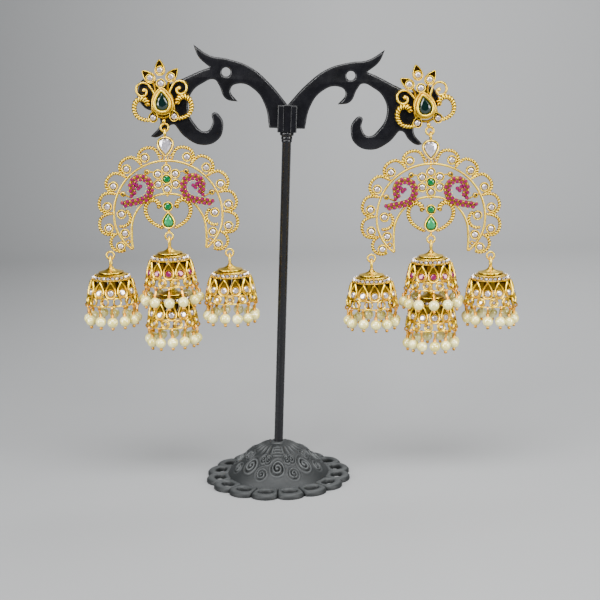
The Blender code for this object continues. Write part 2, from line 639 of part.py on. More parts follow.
def earring(name, side, share_u, share_v, turn):
    """One whole earring: its post goes through the arm, and everything below hangs plumb."""
    u, v = arm_point(side, share_u, share_v)
    front = -(ARM_T / 2 + SEAT_GAP + LINK_R + WIRE_R)
    post = HEAD @ Vector((u, 0, STAND_H + v))
    leaning = Matrix.Rotation(-turn, 4, "Y")
    middle = Vector((post.x, front, post.z))
    stud(name, Matrix.Translation(middle) @ leaning, ARM_T + POST_TAIL)
    hinge = middle + leaning @ Vector((0, 0, -STUD_HANG))
    centre = hinge - Vector((0, 0, CRESCENT_DROP))
    swing = pivot(f"{name}_crescent_pivot", hinge)
    crescent(name, Matrix.Translation(centre), swing)
    hooks = (("left", -SIDE_HOOK_X, SIDE_HOOK_Z), ("right", SIDE_HOOK_X, SIDE_HOOK_Z))
    for half, x, z in hooks:
        hook = centre + Vector((x, 0, z))
        bell(f"{name}_{half}", hook, pivot(f"{name}_{half}_pivot", hook - Vector((0, 0, LINK_R)), swing))
    hook = centre + Vector((0, 0, MID_HOOK_Z))
    upper = pivot(f"{name}_upper_pivot", hook - Vector((0, 0, LINK_R)), swing)
    bell(f"{name}_upper", hook, upper, FRINGE_SPREAD, TIER_DROP)
    hook = hook - Vector((0, 0, TIER_DROP))
    lower = pivot(f"{name}_lower_pivot", hook - Vector((0, 0, LINK_R)), upper)
    bell(f"{name}_lower", hook, lower)


stand_base()
stand_post()
for earring_name, arm_side, post_u, post_v, stud_turn in EARRINGS:
    stand_arm(earring_name, arm_side, post_u, post_v)
    earring(earring_name, arm_side, post_u, post_v, stud_turn)
join_all()
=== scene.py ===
"""Looks of the pair of jhumka earrings on their two-armed stand.

Shapes are worked out in millimetres and put into meshes in metres. A drawing plane has x to the
right, y up and z towards the viewer; a bell has its axis on z. Each surface carries a relief
value, 0 in a recess and 1 on a raised edge, which the finishes read for patina and wear. The cut
stones read it for painted light and shade across their facets, and two gold parts carry painted
shade in it: the gap under a bell's cap and the lower side of each fringe bead.
"""

import json
from math import cos, pi, radians, sin

import bpy
import numpy as np
from mathutils import Matrix, Vector
from mathutils.geometry import tessellate_polygon


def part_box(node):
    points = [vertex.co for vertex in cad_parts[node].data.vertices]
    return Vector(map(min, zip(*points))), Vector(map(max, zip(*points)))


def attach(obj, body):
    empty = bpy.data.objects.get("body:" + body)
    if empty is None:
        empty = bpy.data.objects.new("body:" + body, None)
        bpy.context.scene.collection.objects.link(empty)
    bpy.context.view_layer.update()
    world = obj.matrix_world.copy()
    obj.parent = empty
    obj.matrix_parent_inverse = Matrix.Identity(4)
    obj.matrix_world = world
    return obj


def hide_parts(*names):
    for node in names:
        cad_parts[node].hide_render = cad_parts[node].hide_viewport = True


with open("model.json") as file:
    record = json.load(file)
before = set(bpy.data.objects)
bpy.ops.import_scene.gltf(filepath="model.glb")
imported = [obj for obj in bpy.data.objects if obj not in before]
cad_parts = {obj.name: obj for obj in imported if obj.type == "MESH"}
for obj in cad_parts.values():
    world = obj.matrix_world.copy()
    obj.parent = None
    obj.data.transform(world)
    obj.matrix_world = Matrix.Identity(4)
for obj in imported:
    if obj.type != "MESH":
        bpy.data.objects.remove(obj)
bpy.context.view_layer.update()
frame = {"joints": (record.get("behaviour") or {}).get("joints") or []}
MM = 0.001
SHARP_FROM = radians(55)

# Stand
BASE_R = 22.8
BASE_T = 1.6
LOBES = 16
LOBE_DEPTH = 2.1
HOLE_CENTRE = 18.55
HOLE_HALVES = (1.5, 2.35)
DOME_R = 16.2
DOME_H = 11.4
LEAN = radians(2.94)
FOOT_X = -0.28
STAND_H = 109.54
POLE_R = 1.375
SOCKET_W = 5.8
SOCKET_H = 7.2
SOCKET_WALL = 0.9
SOCKET_BAND_W = 0.85
ARM_T = 2.4
ARM_REACH = 45.1
ARM_RISE = 24.2
ARM_SPLIT = 0.3
ARM_ROUNDING = 0.55
ARM_LEAD = 1 / 2.5614
EYE_R = 1.35
POST_R = 0.45
POST_TAIL = 3.0
POST_HOLE_R = 0.75

# Earrings
LINK_R = 1.15
WIRE_R = 0.3
STUD_HANG = 9.0
RIM_R = 16.4
RIM_END = 133.0
RIM_DRAW = 1.2
RIM_DRAW_FROM = 100.0
BAY_R = 11.3
BAY_Z = -4.8
FLOWER_Z = 10.857
FLOWER_R = 3.05
WHITE_R = 1.02
SETTING_WALL = 0.42
GREEN_R = 1.15
RUBY_R = 0.62
RUBY_STEP = 0.78
RUBY_ROW = 0.55
MILL_PITCH = 0.85
MILL_R = 0.56
RUBY_FRONT = 1.0
TIER_DROP = 12.6

# Bells, heights below the ring that carries them
BELL_SECTION = [(-15.3, 7.75), (-12.5, 7.4), (-9.0, 6.6), (-7.4, 6.1), (-6.6, 5.6), (-5.9, 4.7),
                (-5.4, 3.8)]
# The cap and the shoulder under it: radius, height and relief; the low relief under the cap's rim and on the
# shoulder beneath it is painted shadow
CAP = [(0, -3.25, 0.8), (0.55, -3.3, 0.8), (0.8, -3.75, 0.8), (1.25, -4.15, 0.8), (2.1, -4.55, 0.8),
       (3.0, -4.8, 0.8), (3.8, -4.98, 1), (3.85, -5.12, 1), (3.0, -5.2, 0.2), (1.6, -5.25, 0), (0, -5.25, 0)]
SHOULDER = [(2.4, -5.3, 0.2), (3.7, -5.4, 0.4), (4.35, -5.6, 0.9), (4.75, -5.8, 1), (4.7, -6.0, 0.1),
            (5.6, -6.75, 0.1), (5.75, -6.8, 1), (5.95, -6.98, 1), (5.9, -7.15, 0.6), (5.6, -7.1, 0.1),
            (5.1, -6.7, 0), (4.2, -5.95, 0), (2.4, -5.6, 0)]
LOOP_LINE = [(0, -0.4), (0.75, -1.0), (0.95, -2.0), (0.65, -3.2), (-0.65, -3.2), (-0.95, -2.0), (-0.75, -1.0)]
BELL_SIDES = 12
BAND_STONES = 24
BAND_Z = -6.35
CELL_Z = -9.7
CELL_W = 3.0
CELL_H = 4.6
RING_ROW_Z = -13.2
RIM_HEIGHT = RING_ROW_Z - 1.35
PEARL_R = 1.6
PEARL_Z = -19.2
# How far a pearl strays in angle, radius and height
PEARL_SPREAD = (0.045, 0.25, 0.3)
FRINGE_R = 7.5
UPPER_FRINGE_R = 8.0

# The arm's edge from its bottom inner corner round the beak, the curl, the tail and the horn,
# in thousandths of reach and rise; 1 marks a sharp corner
ARM_EDGE = [
    (0, 8, 1), (116, 10, 1), (148, 285, 0), (219, 471, 0), (324, 541, 0), (379, 470, 0), (330, 320, 1),
    (410, 353, 0), (457, 517, 0), (486, 581, 0), (563, 535, 0), (636, 415, 0), (660, 227, 0), (615, 36, 0),
    (541, -58, 0), (495, 45, 0), (492, 177, 0), (437, 116, 0), (424, -20, 0), (453, -151, 0),
    (554, -227, 0), (672, -140, 0), (747, 17, 1), (772, 10, 0), (812, -83, 0), (869, -149, 0),
    (907, -140, 1), (843, 30, 0), (874, 149, 0), (950, 215, 0), (1000, 400, 0), (938, 579, 0),
    (820, 500, 0), (723, 562, 0), (579, 686, 0), (518, 729, 1), (594, 851, 0), (630, 1000, 1),
    (521, 874, 0), (404, 839, 0), (252, 748, 0), (119, 556, 0), (0, 306, 1),
]
EYE_SHARE = (0.411, 0.678)

# Dome section from the pole's foot down: radius, height
DOME_SECTION = [(1.7, 11.4), (4.5, 10.9), (6.4, 9.9), (8.9, 8.7), (10.6, 7.2), (12.7, 5.5),
                (14.6, 3.4), (15.6, 1.9), (16.2, 0.7)]
# The casting in one eighth of the dome: distance between roses, length of the slope, then each
# coil's place across, share of the way down, width, height and hand
ROSE_PITCH = 10.5
DOME_RUN = 19
DOME_COILS = [(0.0, 0.60, 1.15, 0.42, 1), (4.1, 0.44, 0.8, 0.30, -1), (-4.1, 0.44, 0.8, 0.30, 1),
              (5.25, 0.72, 0.9, 0.28, 1)]
# Collar rings at the pole's head: radius, and how far below the socket
COLLARS = [(0, 0), (2.0, 0), (2.1, 0.15), (2.1, 0.9), (1.75, 1.15), (1.6, 1.3), (1.7, 1.55), (1.7, 2.1),
           (1.5, 2.3), (1.6, 2.5), (1.6, 2.9), (POLE_R, 3.1)]

# Each earring: its side, where its post goes as shares of reach and rise, and its stud's turn
EARRINGS = [("left", -1, (0.825, 0.306), radians(2.1)), ("right", 1, (0.902, 0.350), radians(12.0))]

# A petal's milled wire as degrees from its stone and radius, then the first stone and the step
PETAL_LINE = [(-14.6, 16.7), (-13.2, 18.6), (-10.2, 20.3), (-5.5, 21.0), (-0.5, 21.0), (3.6, 20.2),
              (5.9, 18.8), (6.3, 17.3)]
PETAL_FIRST = 20.0
PETAL_STEP = 20.4
PETAL_COUNT = 5
PETAL_STONE_R = 18.5
# White stones of the right half's horn, and the small ones beside the kundan stone and the tip
HORN_STONES = [(14.1, 0.5), (13.3, -5.4), (14.8, -9.3)]
TINY_STONES = [(12.5, -8.0), (1.45, 17.35)]
# Milled arcs round the horn: middle, radius, first and last bearing in degrees, number of points
HORN_ARCS = [((14.07, -0.66), 2.6, 118, 292, 30), ((15.0, -8.1), 2.75, 78, -128, 34)]
# Ringed beads, each with the ends of its two stems, and their section: radius, height and relief
RING_BEADS = [((5.9, 13.1), (6.9, 11.4), (3.9, 13.0)), ((13.4, 6.6), (10.6, 5.2), (15.0, 7.1))]
BEAD = [(0.26, -0.45, 0), (0.75, -0.45, 0.5), (0.9, 0, 0.8), (0.8, 0.4, 1), (0.52, 0.6, 1), (0.3, 0.4, 0)]
HEART_LINE = [(1.6, -4.1), (4.1, -2.8), (6.0, -1.0), (6.8, 1.3), (6.3, 3.5), (4.7, 4.6), (3.2, 4.1),
              (2.6, 2.9), (3.1, 2.0)]
RUBY_LINE = [(13.5, 3.5), (11.9, 3.85), (10.2, 4.15), (8.3, 4.5), (6.6, 5.1), (5.4, 6.4), (4.9, 7.9),
             (5.0, 9.4), (5.8, 10.7), (7.2, 11.45), (8.8, 11.4), (10.1, 10.5), (10.6, 9.1), (10.4, 7.6),
             (10.2, 6.1)]
RUBY_HEART = [(7.9, 8.9), (9.1, 9.35), (8.6, 8.2)]
RUBY_PAD = [(7.6, 8.8), (8.5, 8.7), (9.6, 9.4), (10.3, 9.6)]

# Stud, from the middle of its dark stone: petals as tip and stone, then wires
STUD_PETALS = [((0.0, 11.6), (0.0, 9.1)), ((4.9, 8.9), (3.1, 7.0)), ((-4.9, 8.9), (-3.1, 7.0))]
STUD_SCROLL = [(2.0, 1.7), (2.9, 3.6), (4.0, 5.2), (5.6, 5.7), (7.2, 4.8), (7.4, 3.0), (6.2, 1.8),
               (4.8, 2.1), (4.5, 3.3), (5.4, 3.9)]
STUD_LOOP = [(3.2, -5.3), (5.4, -5.3), (7.6, -4.3), (8.5, -2.4), (8.2, -0.3), (6.9, 0.9), (5.3, 0.8),
             (4.4, -0.3), (4.6, -1.3)]
STUD_WEB = [(-2.6, 6.0), (-1.8, 3.6), (-3.0, 0.2), (-2.9, -3.4), (0, -4.9), (2.9, -3.4), (3.0, 0.2),
            (1.8, 3.6), (2.6, 6.0)]
STUD_DROPS = [(3.1, -4.6), (-3.1, -4.6)]

# Each light: its place, what it looks at, its width and height, and its power in watts
MIDDLE = (8, 0, 75)
SOFTBOXES = [("left_box", (-370, -260, 170), MIDDLE, 200, 330, 3.0),
             ("right_box", (390, -250, 180), MIDDLE, 200, 330, 3.0),
             ("top_box", (10, -190, 440), MIDDLE, 420, 180, 3.3),
             ("front_left", (-150, -500, 300), MIDDLE, 90, 90, 1.0),
             ("front_right", (170, -500, 300), MIDDLE, 90, 90, 1.0),
             ("back_box", (160, 260, 380), (60, 500, 100), 400, 200, 2.6)]
CAMERA_AT = (8.087, -403.338, 138.872)
CAMERA_LENS = 79.98
CAMERA_PITCH = radians(11.5)
CAMERA_ROLL = radians(1.3)

FACING = np.array([[1, 0, 0, 0], [0, 0, -1, 0], [0, 1, 0, 0], [0, 0, 0, 1]], float)


def unit(vectors):
    """Vectors divided by their lengths."""
    return vectors / np.maximum(np.linalg.norm(vectors, axis=-1, keepdims=True), 1e-9)


def surface(points, quads, tris, relief):
    """A closed surface, its faces turned round if the sum of a . (b x c) over them is negative."""
    corners = np.vstack([quads[:, [0, 1, 2]], quads[:, [0, 2, 3]], tris])
    a, b, c = (points[corners[:, i]] for i in range(3))
    if np.einsum("ij,ij->i", a, np.cross(b, c)).sum() < 0:
        quads, tris = quads[:, ::-1], tris[:, ::-1]
    return points, quads, tris, relief


def loft(rings, closed=False, tips=None, relief=1.0):
    """Quads between neighbouring closed rings; the last ring meets the first, or fans close the ends."""
    rings = np.asarray(rings, float)
    n, k = rings.shape[:2]
    points = rings.reshape(-1, 3)
    row = np.arange(n if closed else n - 1)[:, None] * k
    below = (row + k) % (n * k)
    side = np.arange(k)
    after = (side + 1) % k
    quads = np.stack([row + side, row + after, below + after, below + side], -1).reshape(-1, 4)
    tris = np.zeros((0, 3), int)
    relief = np.broadcast_to(relief, (n, k)).ravel()
    if not closed:
        tips = rings[[0, -1]].mean(1) if tips is None else np.asarray(tips, float)
        last = (n - 1) * k
        fans = [np.stack([after, side, np.full(k, n * k)], -1),
                np.stack([last + side, last + after, np.full(k, n * k + 1)], -1)]
        points = np.vstack([points, tips])
        tris = np.vstack(fans)
        relief = np.append(relief, [relief[:k].mean(), relief[-k:].mean()])
    return surface(points, quads, tris, relief)


def joined(surfaces):
    """Several surfaces as one."""
    points, quads, tris, relief = zip(*surfaces)
    starts = np.cumsum([0] + [len(part) for part in points[:-1]])
    return (np.vstack(points), np.vstack([part + start for part, start in zip(quads, starts)]),
            np.vstack([part + start for part, start in zip(tris, starts)]), np.concatenate(relief))


def repeated(one, places):
    """A surface once at each of the places, a stack of 4 x 4 matrices."""
    points, quads, tris, relief = one
    places = np.asarray(places, float).reshape(-1, 4, 4)
    moved = np.einsum("nij,pj->npi", places[:, :3, :3], points) + places[:, None, :3, 3]
    shift = (np.arange(len(places)) * len(points))[:, None, None]
    return (moved.reshape(-1, 3), (quads + shift).reshape(-1, 4), (tris + shift).reshape(-1, 3),
            np.tile(relief, len(places)))


def mirrored(one):
    """A surface on the other side of x = 0, with its faces turned back."""
    points, quads, tris, relief = one
    return points * (-1, 1, 1), quads[:, ::-1], tris[:, ::-1], relief


def at(x, y, z=0.0, turn=0.0, size=1.0):
    """A place in the drawing plane, turned about the viewer's axis and scaled."""
    c, s = cos(turn) * size, sin(turn) * size
    return np.array([[c, -s, 0, x], [s, c, 0, y], [0, 0, size, z], [0, 0, 0, 1]], float)


def spun(angles):
    """Places at the origin, turned about z."""
    return np.array([at(0, 0, 0, angle) for angle in angles])


def moved(point):
    """A place at a point, not turned."""
    place = np.eye(4)
    place[:3, 3] = point
    return place


def polar(degrees, radius):
    """A point at an angle from straight up, turning towards +x."""
    return radius * np.sin(np.radians(degrees)), radius * np.cos(np.radians(degrees))


def turns(count):
    """Equal steps of a full turn."""
    return 2 * pi * np.arange(count) / count


def round_path(radius, turn, height=0.0):
    """Points round z: radius (cos turn, sin turn), at a height."""
    return np.stack([radius * np.cos(turn), radius * np.sin(turn), height + 0 * turn], -1)


def spline(points, per=10, closed=False):
    """Catmull-Rom curve through the points, a cubic between each pair with shared slopes."""
    points = np.asarray(points, float)
    before, after = (points[-1:], points[:2]) if closed else (2 * points[:1] - points[1:2],
                                                              2 * points[-1:] - points[-2:-1])
    p = np.vstack([before, points, after])
    t = (np.arange(per) / per)[None, :, None]
    a, b, c, d = (p[i: len(p) - 3 + i, None] for i in range(4))
    curve = b + 0.5 * ((c - a) * t + (2 * a - 5 * b + 4 * c - d) * t**2 + (3 * b - a - 3 * c + d) * t**3)
    curve = curve.reshape(-1, points.shape[1])
    return curve if closed else np.vstack([curve, points[-1:]])


def even(path, step, closed=False):
    """Points at equal steps of arc length along a path."""
    path = np.asarray(path, float)
    if closed:
        path = np.vstack([path, path[:1]])
    run = np.append(0, np.cumsum(np.linalg.norm(np.diff(path, axis=0), axis=1)))
    count = max(int(round(run[-1] / step)), 3)
    stops = np.linspace(0, run[-1], count + 1)[: count if closed else None]
    return np.stack([np.interp(stops, run, path[:, i]) for i in range(path.shape[1])], -1)


def lifted(path, height=0.0):
    """A drawing's path with its height towards the viewer."""
    path = np.asarray(path, float)
    return np.column_stack([path, np.broadcast_to(height, len(path))])


def wire(path, radius, closed=False, sides=10, up=(0, 0, 1), flat=1.0, square=1.0, relief=1.0):
    """A wire: path + radius (side |cos|^square + flat top |sin|^square), rounded at free ends."""
    path = np.asarray(path, float)
    step = np.roll(path, -1, 0) - np.roll(path, 1, 0) if closed else np.gradient(path, axis=0)
    tangent = unit(step)
    side = unit(np.cross(np.broadcast_to(up, path.shape), tangent))
    top = np.cross(tangent, side)
    turn = turns(sides)
    across, over = (np.sign(f(turn)) * np.abs(f(turn)) ** square for f in (np.cos, np.sin))
    radius = np.asarray(radius, float)
    radius = radius[:, None] if radius.ndim == 1 else radius
    if not closed:
        run = np.append(0, np.cumsum(np.linalg.norm(np.diff(path, axis=0), axis=1)))
        near = np.minimum(run, run[-1] - run)[:, None] / np.max(radius)
        radius = radius * np.sqrt(np.clip(1 - (1 - np.clip(near, 0, 1)) ** 2, 0.08, 1))
    radius = np.broadcast_to(radius, (len(path), sides))[..., None]
    rings = path[:, None] + radius * (side[:, None] * across[:, None] + flat * top[:, None] * over[:, None])
    return loft(rings, closed, relief=relief)


def milled(path, radius=MILL_R, closed=False, swell=1.0, up=(0, 0, 1), sides=12):
    """Two strands twisted together: radius (0.52 + 0.48 |cos(turn - pi run / pitch)|)."""
    path = even(path, MILL_PITCH / 6, closed)
    run = np.arange(len(path)) * MILL_PITCH / 6
    turn = turns(sides)
    ridge = np.abs(np.cos(turn[None] - pi * run[:, None] / MILL_PITCH))
    grow = np.linspace(1.0, swell, len(path))[:, None]
    return wire(path, radius * grow * (0.52 + 0.48 * ridge), closed, sides, up, relief=ridge**1.5)


def ring(radius, thick, sides=28, wire_sides=8):
    """A closed round link lying in the drawing plane."""
    return wire(round_path(radius, turns(sides)), thick, True, wire_sides)


def turned(section, sides=24, relief=1.0, loop=False):
    """Rows of radius, height and perhaps relief turned about z; a row at radius 0 becomes a pole."""
    section = np.asarray(section, float)
    relief = section[:, 2] if section.shape[1] == 3 else np.broadcast_to(relief, len(section))
    tips = np.array([[0, 0, section[0, 1]], [0, 0, section[-1, 1]]])
    keep = section[:, 0] > 1e-6
    radius, height = section[keep, :2].T[..., None]
    return loft(round_path(radius, turns(sides), height), loop, tips, relief[keep][:, None])


def ball(radius, sides=20, rows=11, relief=1.0):
    """A sphere: radius (sin a, cos a) turned."""
    a = np.linspace(0, pi, rows)
    return turned(np.column_stack([radius * np.sin(a), radius * np.cos(a)]), sides, relief)


def circle(radius, count=16):
    """An outline of equal steps round a circle."""
    return round_path(radius, turns(count))[:, :2]


def drop(width, height, tip=1, count=32):
    """A pear outline: x = w sin a sin(a/2) / 0.77 / 2, y = h cos a / 2, its tip up or down."""
    a = turns(count)
    across = -width / 2 * np.sin(a) * np.abs(np.sin(a / 2)) / 0.77
    return np.column_stack([across, height / 2 * np.cos(a)]) * tip


def grown(outline, distance):
    """An outline moved outwards along its normals."""
    along = unit(np.roll(outline, -1, 0) - np.roll(outline, 1, 0))
    return outline + distance * np.column_stack([along[:, 1], -along[:, 0]])


def setting(seat, wall, front, back=-0.65, floor=0.0, lip=0.14):
    """A cup round a seat outline: up its outer wall, over a rounded lip and down to its floor."""
    rows = [(wall * 0.8, back, 0.3), (wall, back + lip, 0.55), (wall, front - lip * 1.6, 0.75),
            (wall * 0.82, front - lip * 0.5, 0.95), (wall * 0.5, front, 1.0),
            (wall * 0.15, front - lip * 0.5, 0.9), (0.0, front - lip * 1.6, 0.25), (-0.02, floor, 0.0)]
    rings = [lifted(grown(seat, offset), height) for offset, height, value in rows]
    return loft(rings, relief=np.array([value for offset, height, value in rows])[:, None])


def brilliant(outline, crown, girdle=0.0, depth=0.35, table=0.56):
    """A cut stone on an outline of 16: table, 8 stars, 8 kites and 16 girdle facets over a base."""
    middle = outline.mean(0)
    wide = outline - middle
    base = lifted(middle + 0.94 * wide, girdle - depth)
    edge = lifted(outline, girdle)
    waist = lifted(middle + 0.82 * wide[1::2], girdle + 0.55 * crown)
    top = lifted(middle + table * wide[0::2], girdle + crown)
    points = np.vstack([base, edge, waist, top, [[*middle, girdle + crown], [*middle, girdle - depth]]])
    j = np.arange(16)
    k = np.arange(8)
    kites = np.stack([40 + k, 32 + (k - 1) % 8, 16 + 2 * k, 32 + k], -1)
    walls = np.stack([j, (j + 1) % 16, 16 + (j + 1) % 16, 16 + j], -1)
    stars = np.stack([40 + k, 32 + k, 40 + (k + 1) % 8], -1)
    rims = np.vstack([np.stack([32 + k, 16 + 2 * k, 17 + 2 * k], -1),
                      np.stack([32 + k, 17 + 2 * k, 16 + (2 * k + 2) % 16], -1)])
    tables = np.stack([40 + k, 40 + (k + 1) % 8, np.full(8, 48)], -1)
    floor = np.stack([(j + 1) % 16, j, np.full(16, 49)], -1)
    # Relief rises from base to table; on a stone it places the painted light and shade
    relief = np.repeat([0.0, 0.15, 0.6, 1.0, 1.0, 0.0], [16, 16, 8, 8, 1, 1])
    return surface(points, np.vstack([kites, walls]), np.vstack([stars, rims, tables, floor]), relief)


def small_cut(radius, crown, depth=0.3):
    """A small cut stone: a table over eight sloping facets and a short wall."""
    # Relief 0 at the base to 1 at the table places the stone's painted light and shade
    rings = [lifted(circle(radius * share, 8), height)
             for share, height in ((0.94, -depth), (1.0, 0.0), (0.58, crown))]
    return loft(rings, relief=np.array([0.0, 0.25, 1.0])[:, None])


def inset(loop, distance):
    """A closed outline moved inwards; points that would cross take the nearest place that doesn't."""
    loop = np.asarray(loop, float)
    moved = grown(loop, -distance)
    gap = np.linalg.norm(moved[:, None] - loop[None], axis=-1).min(1)
    good = np.flatnonzero(gap > 0.93 * distance)
    hops = np.abs(np.arange(len(loop))[:, None] - good[None])
    hops = np.minimum(hops, len(loop) - hops)
    return moved[good[hops.argmin(1)]]


def slab(loops, thickness, rounding, steps=4):
    """A plate with rounded edges, middle at z = 0: outlines inset by r (1 - sin a) at r (1 - cos a).

    The first loop is the edge, which runs anticlockwise, and the others are holes, which run clockwise.
    """
    a = np.linspace(0, pi / 2, steps)
    steps_in = rounding * (1 - np.sin(a))
    heights = thickness / 2 - rounding * (1 - np.cos(a))
    levels = list(zip(steps_in, heights)) + list(zip(steps_in[::-1], -heights[::-1]))
    worn = np.clip(np.sin(2 * a), 0, 1)
    worn = np.concatenate([worn, worn[::-1]])
    points, quads, relief, tops, front, back = [], [], [], [], [], []
    first = 0
    for loop in loops:
        rings = np.stack([lifted(inset(loop, step) if step else loop, height) for step, height in levels])
        n, k = rings.shape[:2]
        row = np.arange(n - 1)[:, None] * k + first
        side = np.arange(k)
        after = (side + 1) % k
        quads.append(np.stack([row + side, row + k + side, row + k + after, row + after], -1).reshape(-1, 4))
        points.append(rings.reshape(-1, 3))
        relief.append(np.repeat(worn, k))
        tops.append([Vector(point) for point in rings[0]])
        front.append(first + side)
        back.append(first + (n - 1) * k + side)
        first += n * k
    points, front, back = np.vstack(points), np.concatenate(front), np.concatenate(back)
    cap = np.array(tessellate_polygon(tops))
    corner = points[front[cap]][..., :2]
    area = np.cross(corner[:, 1] - corner[:, 0], corner[:, 2] - corner[:, 0])
    cap = np.where(area[:, None] < 0, cap[:, ::-1], cap)
    tris = np.vstack([front[cap], back[cap[:, ::-1]]])
    return surface(points, np.vstack(quads), tris, np.concatenate(relief))


def add_mesh(name, one, material, smooth=True):
    """A surface as an object of the scene."""
    points, quads, tris, relief = one
    corners = np.concatenate([quads.ravel(), tris.ravel()]).astype(np.int32)
    sizes = np.concatenate([np.full(len(quads), 4), np.full(len(tris), 3)])
    mesh = bpy.data.meshes.new(name)
    mesh.vertices.add(len(points))
    mesh.vertices.foreach_set("co", (points * MM).astype(np.float32).ravel())
    mesh.loops.add(len(corners))
    mesh.loops.foreach_set("vertex_index", corners)
    mesh.polygons.add(len(sizes))
    mesh.polygons.foreach_set("loop_start", (np.cumsum(sizes) - sizes).astype(np.int32))
    mesh.polygons.foreach_set("use_smooth", np.full(len(sizes), smooth))
    mesh.update(calc_edges=True)
    shade = mesh.attributes.new("relief", "FLOAT", "POINT")
    shade.data.foreach_set("value", relief.astype(np.float32))
    mesh.validate()
    if smooth:
        mesh.set_sharp_from_angle(angle=SHARP_FROM)
    mesh.materials.append(material)
    obj = bpy.data.objects.new(name, mesh)
    bpy.context.scene.collection.objects.link(obj)
    return obj


def piece(name, parts, look, body, stands_for=(), place=None):
    """Put surfaces into one mesh that rides on a body and stands for its CAD nodes."""
    material, slot, smooth = look
    one = joined(parts)
    obj = add_mesh(name, one if place is None else repeated(one, place), material, smooth)
    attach(obj, body)
    if stands_for:
        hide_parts(*stands_for)


class Finish:
    """A Principled material and a short way to add nodes to it."""

    def __init__(self, name, colour, roughness, metallic=0.0, coat=0.0):
        self.material = bpy.data.materials.new(name)
        self.material.use_nodes = True
        self.tree = self.material.node_tree
        self.shader = self.tree.nodes["Principled BSDF"]
        self.put(Base_Color=(*colour, 1), Roughness=roughness, Metallic=metallic, Coat_Weight=coat,
                 Coat_Roughness=0.06)
        self.coords = self.tree.nodes.new("ShaderNodeTexCoord").outputs["Object"]

    def feed(self, node, inputs):
        """Give a node its inputs: numbers, colours or other nodes' outputs."""
        for key, value in inputs.items():
            socket = node.inputs[key.replace("_", " ")]
            if isinstance(value, bpy.types.NodeSocket):
                self.tree.links.new(value, socket)
            else:
                socket.default_value = value
        return node

    def put(self, **inputs):
        """Give the shader its inputs."""
        self.feed(self.shader, inputs)

    def node(self, kind, **inputs):
        """Add a node."""
        return self.feed(self.tree.nodes.new("ShaderNode" + kind), inputs)

    def noise(self, size, detail=3.0):
        """Cloudy noise whose features are about that many millimetres."""
        return self.node("TexNoise", Vector=self.coords, Scale=1 / (size * MM), Detail=detail).outputs["Fac"]

    def relief(self):
        """The relief value that the surfaces carry."""
        made = self.node("Attribute")
        made.attribute_name = "relief"
        return made.outputs["Fac"]

    def ramp(self, fac, stops):
        """A colour ramp of (place, colour) stops."""
        made = self.node("ValToRGB", Fac=fac)
        marks = made.color_ramp.elements
        while len(marks) < len(stops):
            marks.new(0.5)
        for mark, (place, colour) in zip(marks, stops):
            mark.position = place
            mark.color = (*colour, 1)
        return made.outputs["Color"]

    def mix(self, fac, one, two, kind="MIX"):
        """Mix two colours."""
        made = self.tree.nodes.new("ShaderNodeMix")
        made.data_type = "RGBA"
        made.blend_type = kind
        made.inputs[0].default_value = fac
        self.tree.links.new(one, made.inputs[6])
        self.tree.links.new(two, made.inputs[7])
        return made.outputs[2]

    def span(self, value, low, high):
        """A value from 0 to 1 spread between two others."""
        return self.node("MapRange", Value=value, To_Min=low, To_Max=high).outputs["Result"]

    def rough(self, size, low, high, detail=3.0):
        """Roughness that drifts between two values over about that many millimetres."""
        self.put(Roughness=self.span(self.noise(size, detail), low, high))

    def bump(self, size, depth, strength, detail=2.0):
        """Grain of that size and depth in millimetres."""
        made = self.node("Bump", Height=self.noise(size, detail), Distance=depth * MM, Strength=strength)
        self.put(Normal=made.outputs["Normal"])


def antique_gold(name, bright, middle, deep, gloss=(0.5, 0.26)):
    """Yellow metal with dark patina in its recesses, rubbed bright on its raised edges."""
    made = Finish(name, bright, 0.25, 1.0)
    relief = made.relief()
    # Low relief is patina, and also painted shade under the bells' caps and on the fringe beads' lower sides
    worn = made.ramp(relief, [(0.0, deep), (0.45, middle), (0.9, bright)])
    tint = made.ramp(made.noise(1.3), [(0.35, (0.80, 0.66, 0.52)), (0.62, (1.0, 1.0, 1.0))])
    made.put(Base_Color=made.mix(0.75, worn, tint, "MULTIPLY"),
             Roughness=made.span(made.mix(0.35, relief, made.noise(0.5)), *gloss))
    made.bump(0.22, 0.02, 0.35)
    return made.material


def gloss_plastic():
    """Black moulded plastic with a faint flow mark in its gloss."""
    made = Finish("black_plastic", (0.003, 0.003, 0.004), 0.25, coat=0.2)
    tone = made.ramp(made.noise(6.0), [(0.3, (0.0012, 0.0012, 0.0018)), (0.7, (0.003, 0.003, 0.0045))])
    made.put(Base_Color=tone, Specular_IOR_Level=0.3)
    made.rough(1.6, 0.2, 0.34, 4.0)
    made.bump(0.8, 0.015, 0.2)
    return made.material


def cast_metal():
    """Dark grey cast metal, grainy, with its raised edges rubbed lighter."""
    made = Finish("dark_cast", (0.03, 0.033, 0.035), 0.55, 0.35)
    worn = made.ramp(made.relief(), [(0.0, (0.005, 0.006, 0.006)), (0.5, (0.017, 0.019, 0.020)),
                                     (1.0, (0.085, 0.090, 0.092))])
    tint = made.ramp(made.noise(2.2), [(0.3, (0.78, 0.80, 0.80)), (0.7, (1.0, 1.0, 1.0))])
    made.put(Base_Color=made.mix(0.8, worn, tint, "MULTIPLY"))
    made.rough(0.7, 0.42, 0.72, 4.0)
    made.bump(0.35, 0.05, 0.6, 4.0)
    return made.material


def nacre():
    """Cream imitation pearl: a yellow-green body under a clear hard gloss."""
    made = Finish("cream_pearl", (0.85, 0.80, 0.55), 0.28, coat=1.0)
    body = made.ramp(made.noise(3.2, 1.0), [(0.3, (0.66, 0.56, 0.11)), (0.55, (0.84, 0.76, 0.27)),
                                            (0.75, (0.93, 0.87, 0.42))])
    made.rough(0.6, 0.16, 0.28)
    made.put(Base_Color=body, Subsurface_Weight=0.15, Subsurface_Radius=(0.0012, 0.0010, 0.0005),
             Coat_IOR=2.1, Coat_Roughness=0.10)
    made.bump(0.5, 0.01, 0.15)
    return made.material


